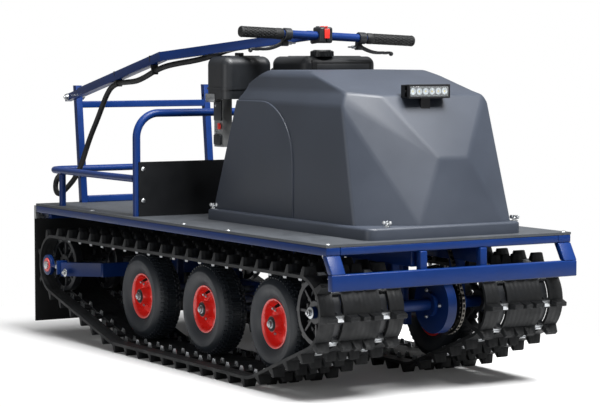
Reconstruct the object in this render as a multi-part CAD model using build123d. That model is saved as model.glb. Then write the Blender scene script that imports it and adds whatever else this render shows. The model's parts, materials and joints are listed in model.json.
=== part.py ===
import os
from math import atan2, cos, degrees, hypot, radians, sin, tan

from build123d import *

# Tracked snow tug: two rubber tracks under a flat deck, an engine under a hood and a folding tiller.
# Millimetres. X forward, Y left, Z up. The origin lies on the ground under the middle of the machine.

# Track and running gear
TRACK_WIDTH = 242.0
TRACK_INNER_Y = 124.0
BELT_THICKNESS = 8.0
LUG_HEIGHT = 21.7
LUG_PITCH = 73.0
LUG_FOOT = 22.0
LUG_TIP = 13.0
TYRE_RADIUS = 126.5
TYRE_WIDTH = 85.0
TREAD_SHOULDER = 16.0
SIDEWALL_FOOT = 38.0
BEAD_RADIUS = 58.0
BEAD_WIDTH = 54.0
RIM_FLANGE_RADIUS = 65.0
RIM_WALL = 3.0
RIM_DISH = 14.0
HUB_RADIUS = 22.0
HUB_LENGTH = 76.0
WHEEL_Y = 244.0
WHEEL_PITCH = 369.0
FIRST_WHEEL_X = -310.0
WHEEL_COUNT = 3
WHEEL_AXLE_RADIUS = 10.0
BEAM_OVERHANG = 60.0
END_POST_OFFSETS = (-110.0, 27.0)   # from the first and the last wheel
DRIVE_SETBACK = 122.0               # behind the deck's front edge
DRIVE_Z = 217.5
SPROCKET_RADIUS = 85.0
SPROCKET_WIDTH = 24.0
SPROCKET_INNER = 54.5               # from the track's inner edge
SPROCKET_OUTER = 187.5
SPROCKET_HOLES = 9
DRIVE_AXLE_RADIUS = 15.0
HANGER_RADIUS = 30.0
IDLER_SETBACK = 106.0               # before the deck's rear edge
IDLER_Z = 216.0
IDLER_RADIUS = 80.0
IDLER_HOLES = 6
IDLER_AXLE_RADIUS = 12.0
BOSS_RADIUS = 30.0
BOSS_GAP = 4.0
BOSS_LENGTH = 11.0
THREAD_RADIUS = 5.0
THREAD_LENGTH = 95.0
TENSION_PLATE = 6.0
TENSIONER_INSET = 76.0              # crossbar end from the track's outer edge
FIT = 0.3

# Chain drive
CHAIN_Y = 65.0
CHAIN_THICKNESS = 10.0
CHAIN_WIDTH = 9.0
CHAIN_WHEEL_RADIUS = 72.0
CHAIN_WHEEL_WIDTH = 6.0
CHAIN_HUB_RADIUS = 28.0
CHAIN_HUB_WIDTH = 16.0
DRUM_RADIUS = 75.0
DRUM_WALL = 7.0
DRUM_DEPTH = 26.0
DRUM_HUB_RADIUS = 30.0
DRUM_HUB_LENGTH = 46.0
PINION_SETBACK = 86.0               # behind the drive axle
PINION_Z = 470.0
PINION_RADIUS = 30.0
JACKSHAFT_RADIUS = 10.0
JACKSHAFT_LENGTH = 110.0
STAND_LENGTH = 60.0
STAND_WIDTH = 40.0

# Deck and frame
TUBE_WIDE = 40.0
TUBE_THIN = 20.0
DECK_HALF_LENGTH = 828.0
DECK_HALF_WIDTH = 367.5
FRAME_TOP = 386.5
BOARD_THICKNESS = 6.5
CHAIN_SLOT_MARGIN = 20.0
LONGITUDINAL_Y = 100.0
REAR_MEMBER_SETBACK = 288.0
ARCH_MEMBER_OFFSET = 12.0
ENGINE_MEMBER_OFFSET = 50.0
CHAIN_MEMBER_GAP = 140.0
BUMPER_REACH = 26.0
BUMPER_BOTTOM = 283.0
BUMPER_POST_Y = 90.0
FLAP_THICKNESS = 4.0
FLAP_BOTTOM = 35.0
FLAP_STANDOFF = 9.0
HITCH_REACH = 52.0
HITCH_BORE = 8.0
HITCH_PLATE = 8.0
HITCH_TONGUE = 10.0
HITCH_HALF_WIDTH = 45.0
HITCH_NOTCH_GAP = 5.0

# Rear arch, rails and posts
ARCH_GAP = 199.0                    # behind the hood's skirt
ARCH_HALF_WIDTH = 340.0
ARCH_TOP = 680.0
ARCH_TUBE_RADIUS = 11.0
ARCH_BEND = 68.0
RAIL_TUBE_RADIUS = 10.0
RAIL_Z = 497.0
RAIL_BEND = 50.0
RAIL_POST_GAP = 103.0               # before the tall posts
PANEL_THICKNESS = 3.0
PANEL_TOP = 545.0
POST_TUBE = 20.0
POST_Y = 222.0
POST_SETBACK = 28.0                 # before the deck's rear edge
POST_LEAN = 38.0
POST_TOP_Z = 748.0
POST_BAR_Z = 690.0

# Tiller
PIVOT_Z = 713.0
PIVOT_BOLT_RADIUS = 5.0
PIVOT_HEAD_RADIUS = 9.0
PIVOT_HEAD_HEIGHT = 7.0
PIVOT_SPACER_RADIUS = 10.0
PIVOT_GAP = 4.4
STUB_TUBE = 20.0
STUB_TAIL = 19.5
STUB_LENGTH = 78.0
STUB_SOCKET = 5.0
ARM_TUBE = 25.0
BEND_SETBACK = 16.0                 # behind the arch
BEND_RISE = 158.0                   # above the arch
BAR_OVERHANG = 238.0                # before the hood's rear edge
BAR_RADIUS = 11.0
BAR_INSET = 4.0
BAR_NEAR_Y = -258.0
BAR_NEAR_RISE = 101.0               # above the hood
BAR_FAR_Y = 290.0
BAR_FAR_RISE = 77.0
ARM_WELD_Y = -40.0
GRIP_RADIUS = 15.0
GRIP_NEAR_LENGTH = 130.0
GRIP_FAR_LENGTH = 155.0
PERCH_GAP = 14.0
PERCH_WIDTH = 22.0
PERCH_RADIUS = 16.0
PERCH_FOOT = 18.0
LEVER_DROP = 46.0
LEVER_GAP = 1.0
LEVER_REACH = 105.0
LEVER_WIDTH = 9.0
LEVER_HEIGHT = 11.0
LEVER_SPREAD = 8.0
SWITCH_OFFSET = 38.0
SWITCH_LENGTH = 42.0
SWITCH_WIDTH = 40.0
SWITCH_TOP = 24.0
SWITCH_BOTTOM = 19.0
HOSE_RADIUS = 8.0

# Hood
HOOD_WALL = 4.0
HOOD_MID_Y = 11.0
HOOD_HALF_WIDTH = 214.0
HOOD_TOP = 803.0
HOOD_SHOULDER = 40.0
HOOD_LENGTH = 803.0
SKIRT_HEIGHT = 30.0
SKIRT_STEP = 19.0
SKIRT_SETBACK = 38.0                # behind the deck's front edge
# Facets of the hood: set-backs lie behind the skirt's front, drops below the hood's top
NOSE_SETBACK = 42.0
NOSE_DROP = 216.0
NOSE_RIGHT_Y = 14.0
NOSE_LEFT_Y = 102.0
CHIN_SETBACK = 15.0
CHIN_RIGHT_Y = -62.0
CHIN_LEFT_Y = 194.0
BROW_SETBACK = 130.0
BROW_DROP = 61.0
CROWN_SETBACK = 355.0
CHEEK_RIGHT_SETBACK = 155.0
CHEEK_RIGHT_DROP = 88.0
CHEEK_LEFT_SETBACK = 110.0
CHEEK_LEFT_DROP = 131.0
JAW_RIGHT_SETBACK = 100.0
REAR_EDGE = [(73.0, 75.0), (123.0, 38.0), (248.0, -5.0)]   # before the skirt's rear edge, below the top
LAMP_SETBACK = 98.0
LAMP_DROP = 51.0
LAMP_Y = 20.0
LAMP_WIDTH = 126.0
LAMP_HEIGHT = 36.0
LAMP_DEPTH = 40.0
LAMP_FOOT_WIDTH = 28.0
LAMP_FOOT_LENGTH = 38.0
LAMP_FOOT_DROP = 42.0
LENS_THICKNESS = 4.0
LENS_EDGE = 5.5
COOLING_FINS = 5
COOLING_PITCH = 7.0
COOLING_GAP = 3.0
COOLING_DEPTH = 16.0

# Engine, with heights from the top of its base
ENGINE_SETBACK = 113.0              # crankshaft before the hood's rear edge
ENGINE_Y = 10.0
ENGINE_BASE_HALF = 130.0
ENGINE_BASE_HEIGHT = 12.0
CASE_HALF = 110.0
CASE_HEIGHT = 215.0
CASE_ROUND = 20.0
CYLINDER_LEAN = 65.0
CYLINDER_ROOT_X = 80.0
CYLINDER_ROOT_Z = 150.0
CYLINDER_LENGTH = 120.0
FIN_LENGTH = 130.0
FIN_WIDTH = 150.0
FIN_DEPTH = 18.0
FIN_COUNT = 7
FIN_PITCH = 15.0
FIN_GAP = 6.0
HEAD_LENGTH = 120.0
HEAD_WIDTH = 140.0
HEAD_HEIGHT = 28.0
SHAFT_HEIGHT = 125.0
RECOIL_RADIUS = 105.0
RECOIL_DEPTH = 62.0
RECOIL_ROUND = 16.0
TANK_LENGTH = 192.0
TANK_WIDTH = 232.0
TANK_HEIGHT = 103.0
TANK_REAR = 100.0
TANK_RIGHT = 46.0
TANK_ROUND = 28.0
TANK_EDGE = 22.0
TANK_PROUD = 35.0                   # what the handlebar lets the tank stand above the hood
STAY_TUBE = 16.0
STAY_LENGTH = 115.0
STAY_X = (-20.0, 65.0)
STAY_Y = (-20.0, 95.0)
CAP_RADIUS = 32.0
CAP_HEIGHT = 18.0
CAP_X = 70.0
CAP_Y = 20.0
CLEANER_LENGTH = 114.0
CLEANER_WIDTH = 154.0
CLEANER_HEIGHT = 116.0
CLEANER_REAR = 172.0
CLEANER_RIGHT = 210.0
CLEANER_ROUND = 26.0
CLEANER_EDGE = 24.0
MUFFLER_LENGTH = 100.0
MUFFLER_WIDTH = 140.0
MUFFLER_HEIGHT = 100.0
MUFFLER_REAR = 210.0
MUFFLER_RIGHT = 20.0
MUFFLER_RISE = 300.0
MUFFLER_ROUND = 18.0
PIPE_RADIUS = 11.0
PIPE_LENGTH = 45.0
PIPE_INSET_X = 34.0
PIPE_INSET_Y = 30.0
PLATE_LENGTH = 50.0
PLATE_WIDTH = 28.0
PLATE_HEIGHT = 132.0
PLATE_INSET_X = 14.0
PLATE_INSET_Y = 22.0
INTAKE_RADIUS = 16.0
INTAKE_RISE = 25.0

# Places that follow from the sizes above
BELT_RISE = LUG_HEIGHT + BELT_THICKNESS
WHEEL_Z = BELT_RISE + FIT + TYRE_RADIUS
WHEEL_X = [FIRST_WHEEL_X + i * WHEEL_PITCH for i in range(WHEEL_COUNT)]
DECK_TOP = FRAME_TOP + BOARD_THICKNESS
RAIL_BOTTOM = FRAME_TOP - TUBE_THIN
LONGITUDINAL_BOTTOM = RAIL_BOTTOM - TUBE_WIDE
DRIVE_X = DECK_HALF_LENGTH - DRIVE_SETBACK
IDLER_X = IDLER_SETBACK - DECK_HALF_LENGTH
PINION_X = DRIVE_X - PINION_SETBACK
BUMPER_FRONT = DECK_HALF_LENGTH + BUMPER_REACH
HITCH_END = -DECK_HALF_LENGTH - HITCH_REACH
MIDDLE_X = (BUMPER_FRONT + HITCH_END) / 2
SPROCKET_Y = [TRACK_INNER_Y + SPROCKET_INNER, TRACK_INNER_Y + SPROCKET_OUTER]
TENSIONER_X = (IDLER_X + IDLER_RADIUS + WHEEL_X[0] - TYRE_RADIUS) / 2
SKIRT_FRONT_X = DECK_HALF_LENGTH - SKIRT_SETBACK
SKIRT_REAR_X = SKIRT_FRONT_X - HOOD_LENGTH
SKIRT_TOP = DECK_TOP + SKIRT_HEIGHT
ENGINE_X = SKIRT_REAR_X + ENGINE_SETBACK
ENGINE_Z = DECK_TOP + ENGINE_BASE_HEIGHT
TANK_TOP = ENGINE_Z + CASE_HEIGHT + STAY_LENGTH + TANK_HEIGHT
ARCH_X = SKIRT_REAR_X - ARCH_GAP
POST_BASE_X = POST_SETBACK - DECK_HALF_LENGTH
POST_TOP_X = POST_BASE_X - POST_LEAN
RAIL_POST_X = POST_BASE_X + RAIL_POST_GAP
BEND_X = ARCH_X - BEND_SETBACK
BAR_X = SKIRT_REAR_X + BAR_OVERHANG
COVER_TOP = max(HOOD_TOP, TANK_TOP - TANK_PROUD)
BEND_Z = max(ARCH_TOP + BEND_RISE, COVER_TOP + TANK_PROUD)
BAR_NEAR_Z = COVER_TOP + BAR_NEAR_RISE
BAR_FAR_Z = COVER_TOP + BAR_FAR_RISE
CROSS_MEMBER_X = (REAR_MEMBER_SETBACK - DECK_HALF_LENGTH, ARCH_X + ARCH_MEMBER_OFFSET,
                  ENGINE_X + ENGINE_MEMBER_OFFSET, PINION_X - CHAIN_MEMBER_GAP)
SIDES = (-1, 1)


def block(x0, x1, y0, y1, z0, z1):
    return Pos((x0 + x1) / 2, (y0 + y1) / 2, (z0 + z1) / 2) * Box(abs(x1 - x0), abs(y1 - y0), abs(z1 - z0))


def rod(start, end, radius):
    start = Vector(*start)
    end = Vector(*end)
    return extrude(Plane(start, z_dir=end - start) * Circle(radius), (end - start).length)


def cross_rod(x, y0, y1, z, radius):
    # A rod along the machine's width
    return rod((x, y0, z), (x, y1, z), radius)


def bar(start, end, width, height):
    start = Vector(*start)
    along = Vector(*end) - start
    across = along.cross(Vector(0, 0, 1))
    return extrude(Plane(start, x_dir=across, z_dir=along) * Rectangle(width, height), along.length)


def side_plate(outline, y0, y1):
    # A plate from an outline of (X, Z) points, between two planes across the machine
    face = make_face(Polyline(*outline, close=True))
    return extrude(Plane.XZ.offset(-y0) * face, y1 - y0, dir=(0, 1, 0))


def lathe(profile, x, y, z):
    # A profile of (radius, offset along Y) points turned about a lateral axis
    face = make_face(Polyline(*[(r, a) for r, a in profile], close=True))
    return Pos(x, y, z) * revolve(face, Axis.Y)


def both_sides(shape):
    return [shape, mirror(shape, about=Plane.XZ)]


def save(name, *solids):
    # The pieces move so that the middle of the overall length stands over the origin
    moved = [Pos(-MIDDLE_X, 0, 0) * solid for solid in solids]
    shape = moved[0] if len(moved) == 1 else Compound(children=moved)
    export_step(shape, f"parts/{name}.step")


# Loops round wheels: the track's belt and the drive chain
def tangent_points(first, second, grow):
    # Outer tangent between two circles walked counter-clockwise, as its two touching points
    x0, z0, r0 = first
    x1, z1, r1 = second
    r0 = r0 + grow
    r1 = r1 + grow
    span = hypot(x1 - x0, z1 - z0)
    heading = atan2(z1 - z0, x1 - x0)
    normal = heading - radians(90) + atan2(r0 - r1, (span ** 2 - (r0 - r1) ** 2) ** 0.5)
    turn = (cos(normal), sin(normal))
    return (x0 + r0 * turn[0], z0 + r0 * turn[1]), (x1 + r1 * turn[0], z1 + r1 * turn[1])


def loop_round(circles, grow):
    count = len(circles)
    spans = [tangent_points(circles[i], circles[(i + 1) % count], grow) for i in range(count)]
    edges = []
    for i in range(count):
        x, z, r = circles[i]
        arrive = spans[i - 1][1]
        leave = spans[i][0]
        first = atan2(arrive[1] - z, arrive[0] - x)
        last = atan2(leave[1] - z, leave[0] - x)
        if last < first:
            last += radians(360)
        middle = (first + last) / 2
        radius = r + grow
        through = (x + radius * cos(middle), z + radius * sin(middle))
        edges.append(ThreePointArc(arrive, through, leave))
        edges.append(Line(spans[i][0], spans[i][1]))
    return Wire(edges)


def track():
    # The belt wraps the rear idler, the first and last wheels and the sprocket, with a lug at each pitch
    circles = [(IDLER_X, IDLER_Z, IDLER_RADIUS + FIT)]
    circles += [(x, WHEEL_Z, TYRE_RADIUS + FIT) for x in (WHEEL_X[0], WHEEL_X[-1])]
    circles += [(DRIVE_X, DRIVE_Z, SPROCKET_RADIUS + FIT)]
    outer = loop_round(circles, BELT_THICKNESS)
    ring = make_face(outer) - make_face(loop_round(circles, 0))
    lug_count = round(outer.length / LUG_PITCH)
    root = BELT_THICKNESS / 8
    lug = make_face(Polyline((-LUG_FOOT / 2, -root), (LUG_FOOT / 2, -root), (LUG_TIP / 2, LUG_HEIGHT),
                             (-LUG_TIP / 2, LUG_HEIGHT), close=True))
    lugs = []
    for i in range(lug_count):
        share = (i + 0.5) / lug_count
        point = outer.position_at(share)
        tangent = outer.tangent_at(share)
        turn = degrees(atan2(tangent.Y, tangent.X)) + 180
        lugs.append(Pos(point.X, point.Y) * Rot(0, 0, turn) * lug)
    upright = Plane.XZ.offset(-TRACK_INNER_Y) * (ring + lugs)
    return extrude(upright, TRACK_WIDTH, dir=(0, 1, 0))


def chain():
    circles = [(DRIVE_X, DRIVE_Z, CHAIN_WHEEL_RADIUS + FIT), (PINION_X, PINION_Z, PINION_RADIUS + FIT)]
    ring = make_face(loop_round(circles, CHAIN_THICKNESS)) - make_face(loop_round(circles, 0))
    upright = Plane.XZ.offset(-(CHAIN_Y - CHAIN_WIDTH / 2)) * ring
    return extrude(upright, CHAIN_WIDTH, dir=(0, 1, 0))


# Wheels
def tyre(x, y):
    half = TYRE_WIDTH / 2
    bead = BEAD_WIDTH / 2
    shoulder = TYRE_RADIUS - TREAD_SHOULDER
    # radius, offset
    profile = [(BEAD_RADIUS, -bead), (RIM_FLANGE_RADIUS + RIM_WALL, -bead),
               (TYRE_RADIUS - SIDEWALL_FOOT, -half), (shoulder, -half),
               (shoulder + 0.75 * TREAD_SHOULDER, -half + 0.75 * TREAD_SHOULDER),
               (TYRE_RADIUS, -half + 1.6 * TREAD_SHOULDER)]
    profile += [(r, -a) for r, a in reversed(profile)]
    return lathe(profile, x, y, WHEEL_Z)


def rim(x, y, side):
    bead = BEAD_WIDTH / 2 + FIT
    seat = BEAD_RADIUS - FIT
    bore = WHEEL_AXLE_RADIUS + FIT
    barrel = seat - RIM_WALL
    web = bead - RIM_DISH
    web_back = web - RIM_WALL
    hub = HUB_LENGTH / 2
    flange = RIM_FLANGE_RADIUS
    # radius, offset: hub, dished web, barrel and the two flanges
    profile = [(bore, -hub), (HUB_RADIUS, -hub), (HUB_RADIUS, web_back), (barrel, web_back), (barrel, -bead),
               (flange, -bead - RIM_WALL), (flange, -bead), (seat, -bead), (seat, bead), (flange, bead),
               (flange, bead + RIM_WALL), (barrel, bead), (barrel, web), (HUB_RADIUS, web), (HUB_RADIUS, hub),
               (bore, hub)]
    return lathe([(r, a * side) for r, a in profile], x, y, WHEEL_Z)


def pierced_disc(x, z, y, radius, bore, holes):
    disc = Circle(radius) - Circle(bore + FIT)
    for i in range(holes):
        disc -= Rot(0, 0, 360 * (i + 0.5) / holes) * Pos(radius * 0.62, 0) * Circle(radius * 0.13)
    return Pos(x, y + SPROCKET_WIDTH / 2, z) * extrude(Plane.XZ * disc, SPROCKET_WIDTH)


def road_wheels():
    places = [(x, side) for side in SIDES for x in WHEEL_X]
    save("tyres", *[tyre(x, side * WHEEL_Y) for x, side in places])
    save("rims", *[rim(x, side * WHEEL_Y, side) for x, side in places])
    axle_end = WHEEL_Y + HUB_LENGTH / 2
    save("wheel_axles", *[cross_rod(x, -axle_end, axle_end, WHEEL_Z, WHEEL_AXLE_RADIUS) for x in WHEEL_X])
    inside = LONGITUDINAL_Y - TUBE_THIN / 2
    outside = LONGITUDINAL_Y + TUBE_THIN / 2
    beam_top = WHEEL_Z + TUBE_WIDE / 2
    beam = block(TENSIONER_X + TUBE_THIN / 2, WHEEL_X[-1] + BEAM_OVERHANG, inside, outside,
                 WHEEL_Z - TUBE_WIDE / 2, beam_top)
    for x in WHEEL_X:
        beam -= cross_rod(x, inside - FIT, outside + FIT, WHEEL_Z, WHEEL_AXLE_RADIUS + FIT)
    save("wheel_beams", *both_sides(beam))
    post_places = [WHEEL_X[0] + END_POST_OFFSETS[0], WHEEL_X[-1] + END_POST_OFFSETS[1]]
    post_places += [x + WHEEL_PITCH / 2 for x in WHEEL_X[:-1]]
    posts = []
    for x in post_places:
        posts += both_sides(block(x - TUBE_WIDE / 2, x + TUBE_WIDE / 2, inside, outside, beam_top,
                                  LONGITUDINAL_BOTTOM))
    save("beam_posts", *posts)


def drive_end():
    axle_end = SPROCKET_Y[-1] + SPROCKET_WIDTH
    save("drive_axle", cross_rod(DRIVE_X, -axle_end, axle_end, DRIVE_Z, DRIVE_AXLE_RADIUS))
    save("drive_sprockets", *[pierced_disc(DRIVE_X, DRIVE_Z, side * y, SPROCKET_RADIUS, DRIVE_AXLE_RADIUS,
                                           SPROCKET_HOLES) for side in SIDES for y in SPROCKET_Y])
    bore = DRIVE_AXLE_RADIUS + FIT
    inside = LONGITUDINAL_Y - TUBE_THIN / 2
    outside = LONGITUDINAL_Y + TUBE_THIN / 2
    ring = cross_rod(DRIVE_X, inside, outside, DRIVE_Z, HANGER_RADIUS)
    leg = block(DRIVE_X - TUBE_WIDE / 2, DRIVE_X + TUBE_WIDE / 2, inside, outside, DRIVE_Z,
                LONGITUDINAL_BOTTOM)
    bearing = cross_rod(DRIVE_X, inside - FIT, outside + FIT, DRIVE_Z, bore)
    save("drive_hangers", *both_sides(ring + leg - bearing))
    hub = DRUM_HUB_LENGTH / 2
    back = -DRUM_DEPTH / 2
    inner = DRUM_RADIUS - DRUM_WALL
    floor = back + DRUM_WALL
    # radius, offset from the drum's middle: hub, back plate and rim
    drum = [(bore, -hub), (DRUM_HUB_RADIUS, -hub), (DRUM_HUB_RADIUS, back), (DRUM_RADIUS, back),
            (DRUM_RADIUS, -back), (inner, -back), (inner, floor), (DRUM_HUB_RADIUS, floor),
            (DRUM_HUB_RADIUS, hub), (bore, hub)]
    save("drive_drum", lathe(drum, DRIVE_X, CHAIN_Y - CHAIN_HUB_WIDTH / 2 - FIT - hub, DRIVE_Z))
    web = CHAIN_WHEEL_WIDTH / 2
    hub = CHAIN_HUB_WIDTH / 2
    wheel = [(bore, -hub), (CHAIN_HUB_RADIUS, -hub), (CHAIN_HUB_RADIUS, -web), (CHAIN_WHEEL_RADIUS, -web),
             (CHAIN_WHEEL_RADIUS, web), (CHAIN_HUB_RADIUS, web), (CHAIN_HUB_RADIUS, hub), (bore, hub)]
    save("chain_wheel", lathe(wheel, DRIVE_X, CHAIN_Y, DRIVE_Z))
    pinion = cross_rod(PINION_X, CHAIN_Y - web, CHAIN_Y + web, PINION_Z, PINION_RADIUS)
    shaft_left = CHAIN_Y + STAND_WIDTH / 2
    shaft = cross_rod(PINION_X, shaft_left - JACKSHAFT_LENGTH, shaft_left, PINION_Z, JACKSHAFT_RADIUS)
    save("jackshaft", pinion + shaft)
    stand_y = CHAIN_Y - STAND_LENGTH
    stand = block(PINION_X - STAND_LENGTH / 2, PINION_X + STAND_LENGTH / 2, stand_y - STAND_WIDTH / 2,
                  stand_y + STAND_WIDTH / 2, DECK_TOP, PINION_Z + STAND_WIDTH * 0.6)
    bearing_radius = JACKSHAFT_RADIUS + FIT
    bearing = cross_rod(PINION_X, stand_y - STAND_WIDTH, stand_y + STAND_WIDTH, PINION_Z, bearing_radius)
    save("jackshaft_stand", stand - bearing)
    save("drive_chain", chain())


def rear_tensioner():
    save("idler_wheels", *[pierced_disc(IDLER_X, IDLER_Z, side * y, IDLER_RADIUS, IDLER_AXLE_RADIUS,
                                        IDLER_HOLES) for side in SIDES for y in SPROCKET_Y])
    edge = TRACK_INNER_Y + TRACK_WIDTH
    boss_in = edge + BOSS_GAP
    boss_out = boss_in + BOSS_LENGTH
    axle_end = boss_out + THREAD_RADIUS
    save("idler_axle", cross_rod(IDLER_X, -axle_end, axle_end, IDLER_Z, IDLER_AXLE_RADIUS))
    half = TUBE_THIN / 2
    bar_half = edge - TENSIONER_INSET
    bar_z = IDLER_Z - THREAD_RADIUS
    bar_rear = TENSIONER_X - half
    bar_front = TENSIONER_X + half
    weldment = block(bar_rear, bar_front, -bar_half, bar_half, bar_z - TUBE_WIDE / 2, bar_z + TUBE_WIDE / 2)
    beam_bottom = WHEEL_Z - TUBE_WIDE / 2
    rod_end = IDLER_X + THREAD_LENGTH
    for side in SIDES:
        foot = block(bar_rear, bar_front, side * (LONGITUDINAL_Y - half), side * (LONGITUDINAL_Y + half),
                     beam_bottom, bar_z)
        ring = cross_rod(IDLER_X, side * boss_in, side * boss_out, IDLER_Z, BOSS_RADIUS)
        bolt_hole = cross_rod(IDLER_X, side * (boss_in - FIT), side * (boss_out + FIT), IDLER_Z,
                              IDLER_AXLE_RADIUS + FIT)
        middle = side * (boss_in + boss_out) / 2
        threaded = rod((IDLER_X + BOSS_RADIUS - THREAD_RADIUS, middle, IDLER_Z), (rod_end, middle, IDLER_Z),
                       THREAD_RADIUS)
        plate_half = 1.5 * BOSS_LENGTH
        plate = block(rod_end - TENSION_PLATE, rod_end, middle - plate_half, middle + plate_half,
                      IDLER_Z - TUBE_THIN, IDLER_Z + TUBE_THIN)
        arm = bar((rod_end - TENSION_PLATE / 2, middle, bar_z),
                  (TENSIONER_X, side * (bar_half - TUBE_THIN), bar_z), TUBE_THIN, TUBE_WIDE)
        weldment = weldment + foot + (ring - bolt_hole) + threaded + plate + arm
    save("tensioner_frame", weldment)


# Deck, frame, bumper, flap and tow eye
def deck_and_frame():
    outer = DECK_HALF_WIDTH
    inner = DECK_HALF_WIDTH - TUBE_WIDE
    half = DECK_HALF_LENGTH
    save("side_rails", *both_sides(block(-half, half, inner, outer, RAIL_BOTTOM, FRAME_TOP)))
    members = [block(half - TUBE_WIDE, half, -inner, inner, RAIL_BOTTOM, FRAME_TOP),
               block(-half, -half + TUBE_THIN, -inner, inner, FRAME_TOP - TUBE_WIDE, FRAME_TOP)]
    for x in CROSS_MEMBER_X:
        members.append(block(x - TUBE_WIDE / 2, x + TUBE_WIDE / 2, -inner, inner, RAIL_BOTTOM, FRAME_TOP))
    save("cross_members", *members)
    inside = LONGITUDINAL_Y - TUBE_THIN / 2
    outside = LONGITUDINAL_Y + TUBE_THIN / 2
    save("longitudinals", *both_sides(block(-half + TUBE_THIN, half - TUBE_WIDE / 2, inside, outside,
                                            LONGITUDINAL_BOTTOM, RAIL_BOTTOM)))
    margin = CHAIN_SLOT_MARGIN
    slot = block(PINION_X - PINION_RADIUS - margin, DRIVE_X + 2 * margin, CHAIN_Y - margin, CHAIN_Y + margin,
                 FRAME_TOP - FIT, DECK_TOP + FIT)
    save("deck_board", block(-half, half, -outer, outer, FRAME_TOP, DECK_TOP) - slot)
    beam_back = BUMPER_FRONT - TUBE_THIN
    beam_top = BUMPER_BOTTOM + TUBE_WIDE
    save("bumper_beam", block(beam_back, BUMPER_FRONT, -outer, outer, BUMPER_BOTTOM, beam_top))
    stay_side = [(half - TUBE_THIN, RAIL_BOTTOM), (half, RAIL_BOTTOM), (BUMPER_FRONT, beam_top),
                 (beam_back, beam_top)]
    corner_stay = side_plate(stay_side, inner, outer)
    middle_stay = block(beam_back - TUBE_THIN, beam_back, BUMPER_POST_Y - TUBE_THIN / 2,
                        BUMPER_POST_Y + TUBE_THIN / 2, BUMPER_BOTTOM, RAIL_BOTTOM)
    save("bumper_stays", *both_sides(corner_stay), *both_sides(middle_stay))
    flap_x = -half - FLAP_STANDOFF
    notch_half = HITCH_HALF_WIDTH + HITCH_NOTCH_GAP
    strip_bottom = FRAME_TOP - TUBE_WIDE
    save("flap_strips", *both_sides(block(flap_x, -half, notch_half, outer, strip_bottom, FRAME_TOP)))
    flap = block(flap_x - FLAP_THICKNESS, flap_x, -outer, outer, FLAP_BOTTOM, FRAME_TOP)
    notch = block(flap_x - FLAP_THICKNESS, flap_x, -notch_half, notch_half, strip_bottom - HITCH_NOTCH_GAP,
                  FRAME_TOP)
    save("mud_flap", flap - notch)


def hitch():
    edge = -DECK_HALF_LENGTH
    z = FRAME_TOP - TUBE_WIDE / 2
    low = z - HITCH_TONGUE / 2
    high = z + HITCH_TONGUE / 2
    eye_radius = 2 * HITCH_BORE
    eye_x = HITCH_END + eye_radius
    plate = block(edge - HITCH_PLATE, edge, -HITCH_HALF_WIDTH, HITCH_HALF_WIDTH, FRAME_TOP - TUBE_WIDE,
                  FRAME_TOP)
    tongue = block(eye_x, edge - HITCH_PLATE, -eye_radius, eye_radius, low, high)
    eye = rod((eye_x, 0, low), (eye_x, 0, high), eye_radius)
    save("tow_hitch", plate + tongue + eye - rod((eye_x, 0, low - FIT), (eye_x, 0, high + FIT), HITCH_BORE))


# Arch, rails and posts
def bent_tube(points, radius, bend):
    path = FilletPolyline(*points, radius=bend)
    return sweep(Plane(path @ 0, z_dir=path % 0) * Circle(radius), path=path)


def post_x(z):
    return POST_BASE_X + (POST_TOP_X - POST_BASE_X) * (z - DECK_TOP) / (POST_TOP_Z - DECK_TOP)


def tall_post(side):
    half = POST_TUBE / 2
    outline = [(POST_BASE_X - half, DECK_TOP), (POST_BASE_X + half, DECK_TOP),
               (POST_TOP_X + half, POST_TOP_Z), (POST_TOP_X - half, POST_TOP_Z)]
    middle = side * POST_Y
    hole_radius = PIVOT_BOLT_RADIUS + FIT
    hole = cross_rod(post_x(PIVOT_Z), middle - POST_TUBE, middle + POST_TUBE, PIVOT_Z, hole_radius)
    return side_plate(outline, middle - half, middle + half) - hole


def arch_and_rails():
    leg = ARCH_HALF_WIDTH
    save("arch", bent_tube([(ARCH_X, -leg, DECK_TOP), (ARCH_X, -leg, ARCH_TOP), (ARCH_X, leg, ARCH_TOP),
                            (ARCH_X, leg, DECK_TOP)], ARCH_TUBE_RADIUS, ARCH_BEND))
    panel_x = ARCH_X + ARCH_TUBE_RADIUS + FIT
    save("panel", block(panel_x, panel_x + PANEL_THICKNESS, -leg, leg, DECK_TOP, PANEL_TOP))
    front = ARCH_X - ARCH_TUBE_RADIUS - FIT
    rear = post_x(RAIL_Z) + POST_TUBE / 2 + RAIL_TUBE_RADIUS + FIT
    save("deck_rail", bent_tube([(front, -leg, RAIL_Z), (rear, -leg, RAIL_Z), (rear, leg, RAIL_Z),
                                 (front, leg, RAIL_Z)], RAIL_TUBE_RADIUS, RAIL_BEND))
    post_top = RAIL_Z - RAIL_TUBE_RADIUS - FIT
    post = rod((RAIL_POST_X, leg, DECK_TOP), (RAIL_POST_X, leg, post_top), RAIL_TUBE_RADIUS)
    save("rail_posts", *both_sides(post))
    save("tall_posts", *[tall_post(side) for side in SIDES])
    half = POST_TUBE / 2
    reach = POST_Y - half
    bar_x = post_x(POST_BAR_Z)
    top_bar = block(bar_x - half, bar_x + half, -reach, reach, POST_BAR_Z - half, POST_BAR_Z + half)
    low_bar = block(POST_BASE_X - half, POST_BASE_X + half, -reach, reach, DECK_TOP, DECK_TOP + POST_TUBE)
    save("post_bars", top_bar, low_bar)


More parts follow.
